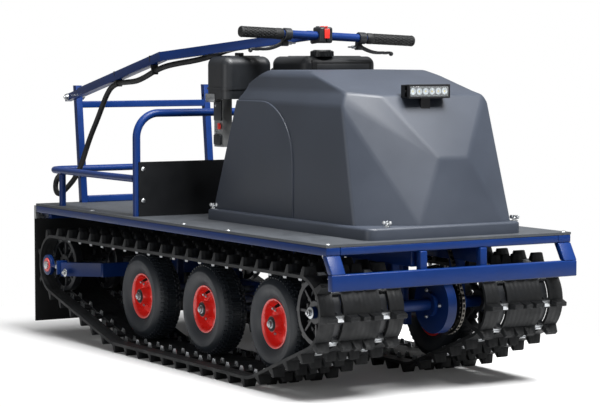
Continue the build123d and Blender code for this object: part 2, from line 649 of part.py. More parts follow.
# Control hose, as X, Y from the arm's plane, Z: along the arm, then the free loop, then along the rail
ARM_HOSE = [
    (-520.6, 0, 756.1), (-500, 0, 760.4), (-450, 0, 763), (-395, 0, 766), (-340, 0, 778), (-285, 2, 796),
    (-230, 7, 810), (-180, 25, 819), (-135, 50, 826), (-97, 87, 839), (-50, 108, 856), (10, 134, 867),
    (70, 161, 874), (125, 192, 881), (165, 224, 888), (205, 234, 892),
]
LOOP_HOSE = [
    (-521, 0, 756), (-551, 0, 749.7), (-583, 0, 727), (-612, -1, 692), (-645, -3, 648), (-678, -7, 604),
    (-700, -13, 560), (-711, -23, 515), (-723, -38, 474), (-742, -56, 444), (-762, -67, 425),
    (-782, -71, 423), (-797, -70, 437), (-799, -68, 457), (-786, -67, 473), (-760, -70, 483),
    (-740, -72.5, 488),
]
RAIL_HOSE = [
    (-740, -72.5, 488), (-720, -75, 493), (-660, -74.9, 497), (-480, -74.2, 496), (-330, -73.5, 497),
    (-250, -69.5, 496), (-201, -69.3, 495),
]


def hose(name, plane_y, route):
    points = [Vector(x, plane_y + dy, z) for x, dy, z in route]
    radii = []
    for before, here, after in zip(points, points[1:], points[2:]):
        turn = (here - before).get_angle(after - here)
        shorter = min((here - before).length, (after - here).length)
        radii.append(0.45 * shorter / tan(radians(turn / 2)))
    path = FilletPolyline(*points, radius=radii)
    tube = sweep(Plane(path @ 0, z_dir=path % 0) * Circle(HOSE_RADIUS), path=path)
    print(name, "length", round(path.length), "least radius", round(min(radii)))
    return tube


# Tiller
def on_bar(y):
    # Point of the handlebar's middle line at this Y
    share = (y - BAR_NEAR_Y) / (BAR_FAR_Y - BAR_NEAR_Y)
    return (BAR_X, y, BAR_NEAR_Z + share * (BAR_FAR_Z - BAR_NEAR_Z))


def tiller_arm(pivot):
    bend = Vector(BEND_X, pivot.Y, BEND_Z)
    weld = Vector(*on_bar(ARM_WELD_Y))
    along = (bend - pivot).normalized()
    ahead = (weld - bend).normalized()
    mitre = Plane(bend, z_dir=(along + ahead).normalized())
    socket = pivot + along * STUB_LENGTH
    spare = 2 * ARM_TUBE
    stub = bar(pivot - along * STUB_TAIL, socket + along * STUB_SOCKET, STUB_TUBE, STUB_TUBE)
    rear_part = split(bar(socket, bend + along * spare, ARM_TUBE, ARM_TUBE), mitre, keep=Keep.BOTTOM)
    front_part = split(bar(bend - ahead * spare, weld, ARM_TUBE, ARM_TUBE), mitre, keep=Keep.TOP)
    hole = cross_rod(pivot.X, pivot.Y - STUB_TUBE, pivot.Y + STUB_TUBE, pivot.Z, PIVOT_BOLT_RADIUS + FIT / 2)
    saddle = rod(on_bar(BAR_NEAR_Y), on_bar(BAR_FAR_Y), BAR_RADIUS + FIT)
    return stub + rear_part + front_part - hole - saddle


def pivot_bolt(pivot):
    face = pivot.Y - STUB_TUBE / 2
    post_outside = -(POST_Y + POST_TUBE / 2)
    post_inside = -(POST_Y - POST_TUBE / 2)
    nut_y = post_inside + FIT
    shank = cross_rod(pivot.X, face, nut_y + PIVOT_HEAD_RADIUS + PIVOT_GAP / 2, pivot.Z, PIVOT_BOLT_RADIUS)
    head = cross_rod(pivot.X, face - PIVOT_HEAD_HEIGHT, face, pivot.Z, PIVOT_HEAD_RADIUS)
    spacer = cross_rod(pivot.X, pivot.Y + STUB_TUBE / 2, post_outside - FIT, pivot.Z, PIVOT_SPACER_RADIUS)
    nut = cross_rod(pivot.X, nut_y, nut_y + PIVOT_HEAD_HEIGHT, pivot.Z, PIVOT_HEAD_RADIUS)
    return shank + head + spacer + nut


def controls():
    grips = []
    perches = []
    levers = []
    # columns: outer end, inner end, outward sign
    ends = [(BAR_NEAR_Y, BAR_NEAR_Y + GRIP_NEAR_LENGTH, -1), (BAR_FAR_Y, BAR_FAR_Y - GRIP_FAR_LENGTH, 1)]
    bore = BAR_RADIUS + FIT
    for outer, inner, sign in ends:
        grip = rod(on_bar(inner), on_bar(outer), GRIP_RADIUS)
        grips.append(grip - rod(on_bar(inner - sign), on_bar(outer - sign * BAR_INSET), bore))
        perch_y = inner - sign * PERCH_GAP
        x, y, z = on_bar(perch_y)
        half = PERCH_WIDTH / 2
        lever_z = z - LEVER_DROP
        foot_half = PERCH_FOOT / 2
        lever_x = x - PERCH_FOOT / 2 - BAR_INSET
        collar = rod(on_bar(perch_y - half), on_bar(perch_y + half), PERCH_RADIUS)
        foot = block(lever_x - foot_half, lever_x + foot_half, y - foot_half, y + foot_half,
                     lever_z - LEVER_SPREAD, z - LEVER_SPREAD)
        clamp_bore = rod(on_bar(perch_y - PERCH_WIDTH), on_bar(perch_y + PERCH_WIDTH), bore)
        perches.append(collar + foot - clamp_bore)
        root = Vector(lever_x, y + sign * (foot_half + LEVER_GAP), lever_z)
        tip = Vector(lever_x + BAR_INSET, y + sign * LEVER_REACH, lever_z + LEVER_SPREAD)
        levers.append(bar(root, tip, LEVER_WIDTH, LEVER_HEIGHT))
    save("grips", *grips)
    save("lever_perches", *perches)
    save("brake_levers", *levers)


def tiller():
    plane_y = -(POST_Y + POST_TUBE / 2 + FIT + PIVOT_GAP + STUB_TUBE / 2)
    pivot = Vector(post_x(PIVOT_Z), plane_y, PIVOT_Z)
    save("tiller_arm", tiller_arm(pivot))
    save("pivot_bolt", pivot_bolt(pivot))
    save("handlebar", rod(on_bar(BAR_NEAR_Y + BAR_INSET), on_bar(BAR_FAR_Y - BAR_INSET), BAR_RADIUS))
    controls()
    x, y, z = on_bar(ARM_WELD_Y + SWITCH_OFFSET)
    box = block(x - SWITCH_LENGTH / 2, x + SWITCH_LENGTH / 2, y - SWITCH_WIDTH / 2, y + SWITCH_WIDTH / 2,
                z - SWITCH_BOTTOM, z + SWITCH_TOP)
    save("switch_box", box - rod(on_bar(y - SWITCH_WIDTH), on_bar(y + SWITCH_WIDTH), BAR_RADIUS + FIT))
    save("hose_on_arm", hose("hose_on_arm", plane_y, ARM_HOSE) - box)
    save("hose_loop", hose("hose_loop", plane_y, LOOP_HOSE))
    save("hose_on_rail", hose("hose_on_rail", plane_y, RAIL_HOSE))


# Hood: a rounded block cut by flat facets; the same cuts, moved in by the wall, hollow it
def hood_facets():
    front = SKIRT_FRONT_X
    right = HOOD_MID_Y - HOOD_HALF_WIDTH
    left = HOOD_MID_Y + HOOD_HALF_WIDTH
    nose_right = (front - NOSE_SETBACK, NOSE_RIGHT_Y, HOOD_TOP - NOSE_DROP)
    nose_left = (front - NOSE_SETBACK, NOSE_LEFT_Y, HOOD_TOP - NOSE_DROP)
    chin_right = (front - CHIN_SETBACK, CHIN_RIGHT_Y, SKIRT_TOP)
    chin_left = (front - CHIN_SETBACK, CHIN_LEFT_Y, SKIRT_TOP)
    brow = (front - BROW_SETBACK, NOSE_RIGHT_Y, HOOD_TOP - BROW_DROP)
    brow_left = (front - BROW_SETBACK, NOSE_LEFT_Y, HOOD_TOP - BROW_DROP)
    crown = (front - CROWN_SETBACK, NOSE_RIGHT_Y, HOOD_TOP)
    cheek_right = (front - CHEEK_RIGHT_SETBACK, right, HOOD_TOP - CHEEK_RIGHT_DROP)
    cheek_left = (front - CHEEK_LEFT_SETBACK, left, HOOD_TOP - CHEEK_LEFT_DROP)
    jaw_right = (front - JAW_RIGHT_SETBACK, right, SKIRT_TOP)
    return [
        (nose_right, nose_left, brow),
        (brow, brow_left, crown),
        (nose_right, chin_left, chin_right),
        (nose_right, chin_right, cheek_right),
        (nose_left, cheek_left, chin_left),
        (chin_right, jaw_right, cheek_right),
    ]


def hood_body(inset, base):
    half = HOOD_HALF_WIDTH - inset
    top = HOOD_TOP - inset
    section = Pos(HOOD_MID_Y, (top + base) / 2) * Rectangle(2 * half, top - base)
    section = fillet(section.vertices().group_by(Axis.Y)[-1], HOOD_SHOULDER - inset)
    rear = SKIRT_REAR_X - HOOD_SHOULDER
    body = extrude(Plane.YZ.offset(rear) * section, SKIRT_FRONT_X - rear)
    inside = Vector((SKIRT_REAR_X + SKIRT_FRONT_X) / 2, HOOD_MID_Y, (DECK_TOP + HOOD_TOP) / 2)
    for a, b, c in hood_facets():
        a = Vector(*a)
        normal = (Vector(*b) - a).cross(Vector(*c) - a).normalized()
        if normal.dot(inside - a) > 0:
            normal = -normal
        body = split(body, Plane(a - normal * inset, z_dir=normal), keep=Keep.BOTTOM)
    return body


def hood():
    half = HOOD_HALF_WIDTH + SKIRT_STEP
    shell = hood_body(0, SKIRT_TOP - HOOD_WALL) - hood_body(HOOD_WALL, DECK_TOP)
    skirt = block(SKIRT_REAR_X, SKIRT_FRONT_X, HOOD_MID_Y - half, HOOD_MID_Y + half, DECK_TOP, SKIRT_TOP)
    half = half - HOOD_WALL
    inner = block(SKIRT_REAR_X - HOOD_WALL, SKIRT_FRONT_X - HOOD_WALL, HOOD_MID_Y - half, HOOD_MID_Y + half,
                  DECK_TOP - HOOD_WALL, SKIRT_TOP - HOOD_WALL)
    skirt = skirt - inner - hood_body(HOOD_WALL, DECK_TOP - HOOD_WALL)
    behind = SKIRT_REAR_X - 2 * HOOD_SHOULDER
    edge = [(SKIRT_REAR_X + ahead, HOOD_TOP - drop) for ahead, drop in REAR_EDGE]
    outline = [(behind, DECK_TOP), (SKIRT_REAR_X, DECK_TOP)] + edge + [(behind, edge[-1][1])]
    reach = HOOD_HALF_WIDTH + 2 * SKIRT_STEP
    return shell + skirt - side_plate(outline, HOOD_MID_Y - reach, HOOD_MID_Y + reach)


def lamp():
    front = SKIRT_FRONT_X - LAMP_SETBACK
    z = HOOD_TOP - LAMP_DROP
    wide = LAMP_WIDTH / 2
    high = LAMP_HEIGHT / 2
    back = front - LAMP_DEPTH
    body = block(back, front, LAMP_Y - wide, LAMP_Y + wide, z - high, z + high)
    for i in range(COOLING_FINS):
        middle = z + (i - (COOLING_FINS - 1) / 2) * COOLING_PITCH
        body = body - block(back - FIT, back + COOLING_DEPTH, LAMP_Y - wide + COOLING_GAP,
                            LAMP_Y + wide - COOLING_GAP, middle - COOLING_GAP / 2, middle + COOLING_GAP / 2)
    foot_front = front - LAMP_DEPTH * 0.3
    foot_half = LAMP_FOOT_WIDTH / 2
    foot = block(foot_front - LAMP_FOOT_LENGTH, foot_front, LAMP_Y - foot_half, LAMP_Y + foot_half,
                 z - high - LAMP_FOOT_DROP, z - high)
    save("lamp_body", body + foot - hood_body(0, DECK_TOP))
    wide = wide - LENS_EDGE
    high = high - LENS_EDGE
    save("lamp_lens", block(front, front + LENS_THICKNESS, LAMP_Y - wide, LAMP_Y + wide, z - high, z + high))


# Engine
def rounded_box(shape, axis, side_round, top_round):
    shape = fillet(shape.edges().filter_by(axis), side_round)
    return fillet(shape.edges().group_by(Axis.Z)[-1], top_round)


def engine():
    x = ENGINE_X
    y = ENGINE_Y
    z = ENGINE_Z
    base = ENGINE_BASE_HALF
    case = CASE_HALF
    save("engine_base", block(x - base, x + base, y - base, y + base, DECK_TOP, z))
    crankcase = block(x - case, x + case, y - case, y + case, z, z + CASE_HEIGHT)
    crankcase = fillet(crankcase.edges().filter_by(Axis.Y), CASE_ROUND)
    lean = Pos(x - CYLINDER_ROOT_X, y, z + CYLINDER_ROOT_Z) * Rot(0, -CYLINDER_LEAN, 0)
    cylinder = Pos(0, 0, CYLINDER_LENGTH / 2) * Box(FIN_LENGTH, FIN_WIDTH, CYLINDER_LENGTH)
    barrel = Box(FIN_LENGTH - 2 * FIN_DEPTH, FIN_WIDTH - 2 * FIN_DEPTH, FIN_GAP)
    gap = Box(FIN_LENGTH + FIN_GAP, FIN_WIDTH + FIN_GAP, FIN_GAP) - barrel
    for i in range(FIN_COUNT):
        cylinder = cylinder - Pos(0, 0, (i + 0.9) * FIN_PITCH) * gap
    head = Pos(0, 0, CYLINDER_LENGTH + HEAD_HEIGHT / 2) * Box(HEAD_LENGTH, HEAD_WIDTH, HEAD_HEIGHT)
    engine_block = crankcase + lean * cylinder + lean * head
    save("engine_block", engine_block)
    cover = cross_rod(x, y - case, y - case - RECOIL_DEPTH, z + SHAFT_HEIGHT, RECOIL_RADIUS)
    save("recoil_cover", fillet(cover.edges().group_by(Axis.Y)[0], RECOIL_ROUND))
    stay = STAY_TUBE / 2
    stay_foot = z + CASE_HEIGHT
    tank_foot = stay_foot + STAY_LENGTH
    save("tank_stays", *[block(x + dx - stay, x + dx + stay, y + dy - stay, y + dy + stay, stay_foot,
                               tank_foot) for dx in STAY_X for dy in STAY_Y])
    tank = block(x - TANK_REAR, x - TANK_REAR + TANK_LENGTH, y - TANK_RIGHT, y - TANK_RIGHT + TANK_WIDTH,
                 tank_foot, TANK_TOP)
    save("fuel_tank", rounded_box(tank, Axis.Z, TANK_ROUND, TANK_EDGE))
    cap_x = x + CAP_X
    cap_y = y + CAP_Y
    save("tank_cap", rod((cap_x, cap_y, TANK_TOP), (cap_x, cap_y, TANK_TOP + CAP_HEIGHT), CAP_RADIUS))
    cleaner_x = x - CLEANER_REAR
    cleaner_y = y - CLEANER_RIGHT
    cleaner_foot = TANK_TOP - CLEANER_HEIGHT
    cleaner = block(cleaner_x, cleaner_x + CLEANER_LENGTH, cleaner_y, cleaner_y + CLEANER_WIDTH, cleaner_foot,
                    TANK_TOP)
    save("air_cleaner", rounded_box(cleaner, Axis.Z, CLEANER_ROUND, CLEANER_EDGE))
    plate_x = cleaner_x + PLATE_INSET_X
    plate_y = cleaner_y + PLATE_INSET_Y
    plate_foot = cleaner_foot - PLATE_HEIGHT
    plate = block(plate_x, plate_x + PLATE_LENGTH, plate_y, plate_y + PLATE_WIDTH, plate_foot, cleaner_foot)
    intake = cross_rod(plate_x + PLATE_LENGTH / 2, plate_y + PLATE_WIDTH, y - FIN_WIDTH / 2,
                       plate_foot + INTAKE_RISE, INTAKE_RADIUS)
    save("control_plate", plate + intake)
    muffler_x = x - MUFFLER_REAR
    muffler_y = y + MUFFLER_RIGHT
    muffler_foot = z + MUFFLER_RISE
    muffler = block(muffler_x, muffler_x + MUFFLER_LENGTH, muffler_y, muffler_y + MUFFLER_WIDTH,
                    muffler_foot, muffler_foot + MUFFLER_HEIGHT)
    muffler = fillet(muffler.edges().filter_by(Axis.Y), MUFFLER_ROUND)
    pipe_x = muffler_x + PIPE_INSET_X
    pipe_y = muffler_y + PIPE_INSET_Y
    pipe = rod((pipe_x, pipe_y, muffler_foot - PIPE_LENGTH), (pipe_x, pipe_y, muffler_foot), PIPE_RADIUS)
    save("muffler", muffler + (pipe - engine_block))


os.makedirs("parts", exist_ok=True)
deck_and_frame()
hitch()
save("track_left", track())
save("track_right", mirror(track(), about=Plane.XZ))
road_wheels()
drive_end()
rear_tensioner()
arch_and_rails()
tiller()
engine()
save("hood", hood())
lamp()
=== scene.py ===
import json
from math import asin, atan2, cos, hypot, pi, radians, sin

import bmesh
import bpy
from mathutils import Matrix, Vector
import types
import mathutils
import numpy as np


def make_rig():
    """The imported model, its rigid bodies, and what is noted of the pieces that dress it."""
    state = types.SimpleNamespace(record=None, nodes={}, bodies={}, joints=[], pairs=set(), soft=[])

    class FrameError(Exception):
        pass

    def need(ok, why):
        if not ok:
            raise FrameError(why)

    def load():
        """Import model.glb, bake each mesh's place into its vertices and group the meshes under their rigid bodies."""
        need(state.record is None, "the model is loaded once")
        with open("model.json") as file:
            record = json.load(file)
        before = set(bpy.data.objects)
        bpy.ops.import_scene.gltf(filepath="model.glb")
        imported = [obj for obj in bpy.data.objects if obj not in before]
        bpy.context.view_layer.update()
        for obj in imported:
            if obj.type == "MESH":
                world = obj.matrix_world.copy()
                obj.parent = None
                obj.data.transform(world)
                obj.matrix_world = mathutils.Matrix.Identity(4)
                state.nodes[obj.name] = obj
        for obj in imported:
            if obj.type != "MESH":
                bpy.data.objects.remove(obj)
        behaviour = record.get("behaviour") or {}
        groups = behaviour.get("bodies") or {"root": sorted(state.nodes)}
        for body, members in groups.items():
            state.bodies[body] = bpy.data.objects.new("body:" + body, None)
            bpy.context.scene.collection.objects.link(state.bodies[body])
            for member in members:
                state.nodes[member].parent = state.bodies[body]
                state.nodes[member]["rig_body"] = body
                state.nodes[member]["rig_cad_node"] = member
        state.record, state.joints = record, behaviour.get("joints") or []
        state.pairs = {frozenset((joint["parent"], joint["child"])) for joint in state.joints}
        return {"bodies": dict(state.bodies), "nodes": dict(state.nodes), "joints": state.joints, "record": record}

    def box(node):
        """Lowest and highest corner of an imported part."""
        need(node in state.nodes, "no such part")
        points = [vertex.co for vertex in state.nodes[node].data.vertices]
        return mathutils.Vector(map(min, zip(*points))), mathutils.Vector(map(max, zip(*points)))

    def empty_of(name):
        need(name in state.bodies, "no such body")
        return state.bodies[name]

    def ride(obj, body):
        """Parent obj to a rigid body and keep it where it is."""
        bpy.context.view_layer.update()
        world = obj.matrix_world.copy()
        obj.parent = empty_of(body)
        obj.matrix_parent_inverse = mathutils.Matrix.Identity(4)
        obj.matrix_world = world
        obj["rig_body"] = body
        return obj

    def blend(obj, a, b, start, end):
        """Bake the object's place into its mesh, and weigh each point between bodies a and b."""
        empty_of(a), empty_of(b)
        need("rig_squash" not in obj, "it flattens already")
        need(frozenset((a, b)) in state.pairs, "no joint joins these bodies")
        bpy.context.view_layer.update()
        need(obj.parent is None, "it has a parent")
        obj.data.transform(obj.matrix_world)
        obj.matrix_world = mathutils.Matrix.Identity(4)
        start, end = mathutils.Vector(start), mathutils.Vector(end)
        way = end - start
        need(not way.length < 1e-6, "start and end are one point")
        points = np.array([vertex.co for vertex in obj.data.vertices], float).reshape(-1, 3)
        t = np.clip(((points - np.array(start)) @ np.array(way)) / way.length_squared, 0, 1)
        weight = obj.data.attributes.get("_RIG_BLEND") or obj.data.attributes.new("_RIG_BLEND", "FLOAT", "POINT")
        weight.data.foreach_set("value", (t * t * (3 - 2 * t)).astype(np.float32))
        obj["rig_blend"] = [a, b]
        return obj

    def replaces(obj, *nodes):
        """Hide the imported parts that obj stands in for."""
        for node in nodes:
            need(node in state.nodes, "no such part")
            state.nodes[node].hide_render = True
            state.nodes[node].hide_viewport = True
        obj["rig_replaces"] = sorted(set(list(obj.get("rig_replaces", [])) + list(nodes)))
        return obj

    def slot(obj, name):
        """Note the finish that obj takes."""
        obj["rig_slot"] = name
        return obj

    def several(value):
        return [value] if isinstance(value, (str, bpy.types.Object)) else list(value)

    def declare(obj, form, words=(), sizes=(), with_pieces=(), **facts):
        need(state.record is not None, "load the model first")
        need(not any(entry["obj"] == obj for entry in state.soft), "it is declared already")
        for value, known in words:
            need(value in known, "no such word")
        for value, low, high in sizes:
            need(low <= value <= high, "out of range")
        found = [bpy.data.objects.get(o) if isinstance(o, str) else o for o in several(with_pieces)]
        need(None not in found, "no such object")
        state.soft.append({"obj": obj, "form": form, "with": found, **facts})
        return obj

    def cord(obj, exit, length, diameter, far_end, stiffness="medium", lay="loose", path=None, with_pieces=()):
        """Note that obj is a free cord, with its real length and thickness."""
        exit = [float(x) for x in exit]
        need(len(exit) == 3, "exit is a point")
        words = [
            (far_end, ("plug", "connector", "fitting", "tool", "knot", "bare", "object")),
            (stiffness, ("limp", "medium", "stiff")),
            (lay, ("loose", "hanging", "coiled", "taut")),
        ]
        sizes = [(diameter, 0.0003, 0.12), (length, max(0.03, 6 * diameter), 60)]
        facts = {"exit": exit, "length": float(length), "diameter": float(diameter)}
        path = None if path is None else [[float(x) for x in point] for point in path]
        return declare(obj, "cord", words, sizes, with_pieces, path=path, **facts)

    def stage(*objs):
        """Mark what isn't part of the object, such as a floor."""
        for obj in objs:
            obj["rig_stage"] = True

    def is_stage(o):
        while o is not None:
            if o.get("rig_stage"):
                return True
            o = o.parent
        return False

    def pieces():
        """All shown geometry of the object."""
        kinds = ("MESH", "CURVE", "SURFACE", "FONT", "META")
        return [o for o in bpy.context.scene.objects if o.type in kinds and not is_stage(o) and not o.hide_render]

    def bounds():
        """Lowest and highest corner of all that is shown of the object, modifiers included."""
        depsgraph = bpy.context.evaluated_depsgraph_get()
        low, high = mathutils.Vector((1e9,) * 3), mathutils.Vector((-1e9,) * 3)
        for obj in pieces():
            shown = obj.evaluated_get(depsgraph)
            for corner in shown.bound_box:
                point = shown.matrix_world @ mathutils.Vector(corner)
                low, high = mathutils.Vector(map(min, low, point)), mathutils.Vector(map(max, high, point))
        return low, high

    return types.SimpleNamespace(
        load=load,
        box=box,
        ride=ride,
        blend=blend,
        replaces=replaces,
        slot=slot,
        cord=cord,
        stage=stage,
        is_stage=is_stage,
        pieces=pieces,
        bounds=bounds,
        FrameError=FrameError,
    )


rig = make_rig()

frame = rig.load()
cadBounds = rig.bounds()
scene = bpy.context.scene
nodes = frame["nodes"]
print("frame loaded:", len(nodes), "nodes")


def addObject(name, data):
    made = bpy.data.objects.new(name, data)
    scene.collection.objects.link(made)
    return made


# Camera at the photograph's angle
cameraSettings = dict(lens=129.31, spot=(5.1555, -3.0656, 0.852), azimuth=58.68, elevation=4.04)


def addCamera(s):
    data = bpy.data.cameras.new("photoCamera")
    data.lens = s["lens"]
    data.sensor_width = 36
    data.sensor_fit = "HORIZONTAL"
    data.clip_end = 100
    camera = addObject("photoCamera", data)
    camera.location = s["spot"]
    camera.rotation_euler = (radians(90 - s["elevation"]), 0, radians(s["azimuth"]))
    scene.camera = camera


addCamera(cameraSettings)


# Materials
def srgb(hexText):  # sRGB hex to linear
    parts = [int(hexText[i:i + 2], 16) / 255 for i in (1, 3, 5)]
    return [p / 12.92 if p <= 0.04045 else ((p + 0.055) / 1.055) ** 2.4 for p in parts] + [1.0]


def addNode(tree, kind, inputs, **settings):
    node = tree.nodes.new("ShaderNode" + kind)
    for key, value in settings.items():
        setattr(node, key, value)
    for key, value in inputs.items():
        if isinstance(value, bpy.types.NodeSocket):
            tree.links.new(value, node.inputs[key])
        else:
            node.inputs[key].default_value = value
    return node


def newFinish(name, tones, patch, grain, depth, rough, specular=0.5, **shader):
    # two tones in patches, a bump of the grain's size and a gloss that follows the patches; sizes in mm
    material = bpy.data.materials.new(name)
    material.use_nodes = True
    tree = material.node_tree
    surface = tree.nodes["Principled BSDF"]
    surface.inputs["Specular IOR Level"].default_value = specular
    for key, value in shader.items():
        surface.inputs[key.replace("_", " ")].default_value = value
    spot = addNode(tree, "TexCoord", {}).outputs["Object"]
    patches = addNode(tree, "TexNoise",
                      {"Vector": spot, "Scale": 1000 / patch, "Detail": 5, "Roughness": 0.6})
    share = patches.outputs["Fac"]
    colour = addNode(tree, "Mix", {0: share, 6: srgb(tones[0]), 7: srgb(tones[1])}, data_type="RGBA")
    gloss = addNode(tree, "MapRange", {"Value": share, "From Min": 0.3, "From Max": 0.7,
                                       "To Min": rough[0], "To Max": rough[1]})
    pits = addNode(tree, "TexNoise", {"Vector": spot, "Scale": 1000 / grain, "Detail": 3})
    bump = addNode(tree, "Bump", {"Height": pits.outputs["Fac"], "Strength": 0.6, "Distance": depth / 1000})
    tree.links.new(colour.outputs[2], surface.inputs["Base Color"])
    tree.links.new(gloss.outputs["Result"], surface.inputs["Roughness"])
    tree.links.new(bump.outputs["Normal"], surface.inputs["Normal"])
    return material, tree, spot, pits, bump


def makeBluePowder():  # powder coat on steel tube: deep blue, soft gloss, orange peel of 2 mm drawn as 6
    return newFinish("bluePowderCoat", ("#072150", "#0B2D69"), 90, 6, 0.25, (0.3, 0.42), specular=0.2)[0]


def makeRedEnamel():  # stamped steel in red enamel: bright and glossy, darker where the spray is thin
    return newFinish("redEnamel", ("#E6201A", "#FF3A30"), 60, 8, 0.15, (0.2, 0.34), Coat_Weight=0.4)[0]


def makeBlackPowder():  # satin black powder coat: fine tooth, grey sheen
    return newFinish("blackPowderCoat", ("#07080A", "#0E1013"), 70, 4, 0.2, (0.42, 0.58), specular=0.25)[0]


def makeTrackRubber():  # moulded rubber over woven cord: dull black, cord ribs, pale dust in patches
    material, tree, spot, pits, bump = newFinish(
        "mouldedTrackRubber", ("#060708", "#181A1C"), 45, 5, 0.7, (0.5, 0.8), specular=0.3)
    weave = {"Vector": spot, "Scale": 1000 / 7 / 6.28, "Distortion": 1.5, "Detail": 2}
    cords = addNode(tree, "TexWave", weave, bands_direction="Y")  # cord pitch of 2 mm drawn as 7
    both = addNode(tree, "Math", {0: pits.outputs["Fac"], 1: cords.outputs["Fac"]}, operation="ADD")
    tree.links.new(both.outputs[0], bump.inputs["Height"])
    return material


def makeTyreRubber():  # cured tyre rubber: black, its blue cast a painted sheen spread over the whole tyre, with real gloss from the shader's specular
    return newFinish("curedTyreRubber", ("#0F1318", "#1E242B"), 50, 3, 0.2, (0.42, 0.6), specular=0.4)[0]


def makeRubber():  # extruded and moulded rubber: matt black
    return newFinish("mouldedRubber", ("#08090A", "#121314"), 30, 2, 0.15, (0.55, 0.75), specular=0.3)[0]


def makeZinc():  # zinc plate on steel: pale grey metal with faint blue and yellow cast and small spangles
    return newFinish("brightZincPlate", ("#8E939B", "#B9BAB8"), 12, 3, 0.08, (0.22, 0.42), Metallic=1.0)[0]


def makeHoodPlastic():  # vacuum formed ABS: charcoal, with a fine leather grain that greys in grazing light
    material, tree, spot, pits, bump = newFinish(
        "formedAbsSheet", ("#292E37", "#343A45"), 140, 3, 0.12, (0.4, 0.5), specular=0.4)
    hide = addNode(tree, "TexVoronoi", {"Vector": spot, "Scale": 1000 / 4}, feature="DISTANCE_TO_EDGE")
    tree.links.new(hide.outputs["Distance"], bump.inputs["Height"])  # grain cells of 1 mm drawn as 4
    return material


def makeEnginePlastic():  # injection moulded nylon: near black, even, low gloss
    return newFinish("mouldedNylon", ("#0D0F12", "#171A1E"), 60, 2, 0.08, (0.36, 0.5), specular=0.4)[0]


def makeCastAlloy():  # die cast aluminium: warm grey, grainy, dull
    return newFinish("castAluminium", ("#6E7073", "#9A9B9A"), 25, 3, 0.3, (0.42, 0.62), Metallic=0.9)[0]


def makeOiledSteel():  # oiled steel: dark brown-grey metal with wet patches
    return newFinish("oiledSteel", ("#3A3835", "#6B6863"), 14, 2, 0.1, (0.24, 0.5), Metallic=1.0)[0]


def makeDeckPly():  # film-faced plywood: black-brown phenol film with a pressed wire mesh, scuffed grey
    material, tree, spot, pits, bump = newFinish(
        "filmFacedPlywood", ("#232629", "#3E4248"), 55, 4, 0.2, (0.5, 0.72))
    wire = {"Vector": spot, "Scale": 1000 / 8 / 6.28}  # mesh of 4 mm drawn as 8
    weft = addNode(tree, "TexWave", wire, bands_direction="X")
    warp = addNode(tree, "TexWave", wire, bands_direction="Y")
    mesh = addNode(tree, "Math", {0: weft.outputs["Fac"], 1: warp.outputs["Fac"]}, operation="MULTIPLY")
    tree.links.new(mesh.outputs[0], bump.inputs["Height"])
    return material


def makeLens():  # polycarbonate lens: clear with a slight haze
    return newFinish("clearPolycarbonate", ("#E6ECEF", "#F4F7F8"), 40, 2, 0.02, (0.04, 0.1),
                     Transmission_Weight=0.9, IOR=1.58)[0]


def makeChrome():  # vapour coated reflector: bright silver-white
    return newFinish("reflectorCoat", ("#E4E7E9", "#FBFBFB"), 20, 3, 0.05, (0.2, 0.3), Metallic=0.4)[0]


def makeLed():  # phosphor of a lamp chip: matt yellow
    return newFinish("lampPhosphor", ("#D8B84A", "#EBD27A"), 4, 1, 0.05, (0.5, 0.6))[0]


def makeSwitchRed():  # red moulded button: warm red, smooth
    return newFinish("redButtonPlastic", ("#C6221B", "#DB332A"), 20, 2, 0.05, (0.28, 0.36))[0]


finishes = {
    "blue_paint": makeBluePowder(), "plywood": makeDeckPly(), "zinc": makeZinc(), "rubber": makeRubber(),
    "track_rubber": makeTrackRubber(), "tyre_rubber": makeTyreRubber(), "red_paint": makeRedEnamel(),
    "black_plastic": makeEnginePlastic(), "steel": makeOiledSteel(), "black_paint": makeBlackPowder(),
    "engine_alloy": makeCastAlloy(), "hood_plastic": makeHoodPlastic(), "lens": makeLens(),
}
chrome = makeChrome()
ledPhosphor = makeLed()
switchRed = makeSwitchRed()
slotOf = {name: node.material_slots[0].material.name.split(".")[0] for name, node in nodes.items()}
for name, node in nodes.items():
    for place in node.material_slots:
        place.material = finishes[slotOf[name]]
print("materials made:", len(finishes) + 3)


# Shapes, apart from the hose, are drawn in millimetres and scaled when they are made a piece
def nodeBox(name):
    low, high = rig.box(name)
    return Vector(low) * 1000, Vector(high) * 1000


def nodeRound(name):  # middle and radius of a round node that lies across the machine
    low, high = nodeBox(name)
    return (low.x + high.x) / 2, (low.z + high.z) / 2, (high.x - low.x) / 2


def lined(point, axis=(0, 0, 1)):  # a place whose Z runs along the axis
    return Matrix.Translation(point) @ Vector(axis).to_track_quat("Z", "Y").to_matrix().to_4x4()


def turnsOf(place, count):  # the place turned in even steps round its Z
    return [place @ Matrix.Rotation(2 * pi * i / count, 4, "Z") for i in range(count)]


def added(shape, known):  # vertices made since the known ones were noted
    return [vert for vert in shape.verts if vert not in known]


def edgesOf(verts):
    return list({edge for vert in verts for edge in vert.link_edges})


def sharpEdges(edges, angle):
    return [edge for edge in edges if edge.calc_face_angle(0) > radians(angle)]


def bevelEdges(shape, edges, width, segments):
    bmesh.ops.bevel(shape, geom=edges, offset=width, segments=segments, profile=0.5, affect="EDGES",
                    clamp_overlap=True, material=-1)


def slab(shape, low, high, edge=0.0, segments=2, where=None):
    low, high = Vector(low), Vector(high)
    known = set(shape.verts)
    matrix = Matrix.Translation((low + high) / 2) @ Matrix.Diagonal((*(high - low), 1))
    bmesh.ops.create_cube(shape, size=1, matrix=where @ matrix if where else matrix)
    if edge:
        bevelEdges(shape, edgesOf(added(shape, known)), edge, segments)
    return added(shape, known)


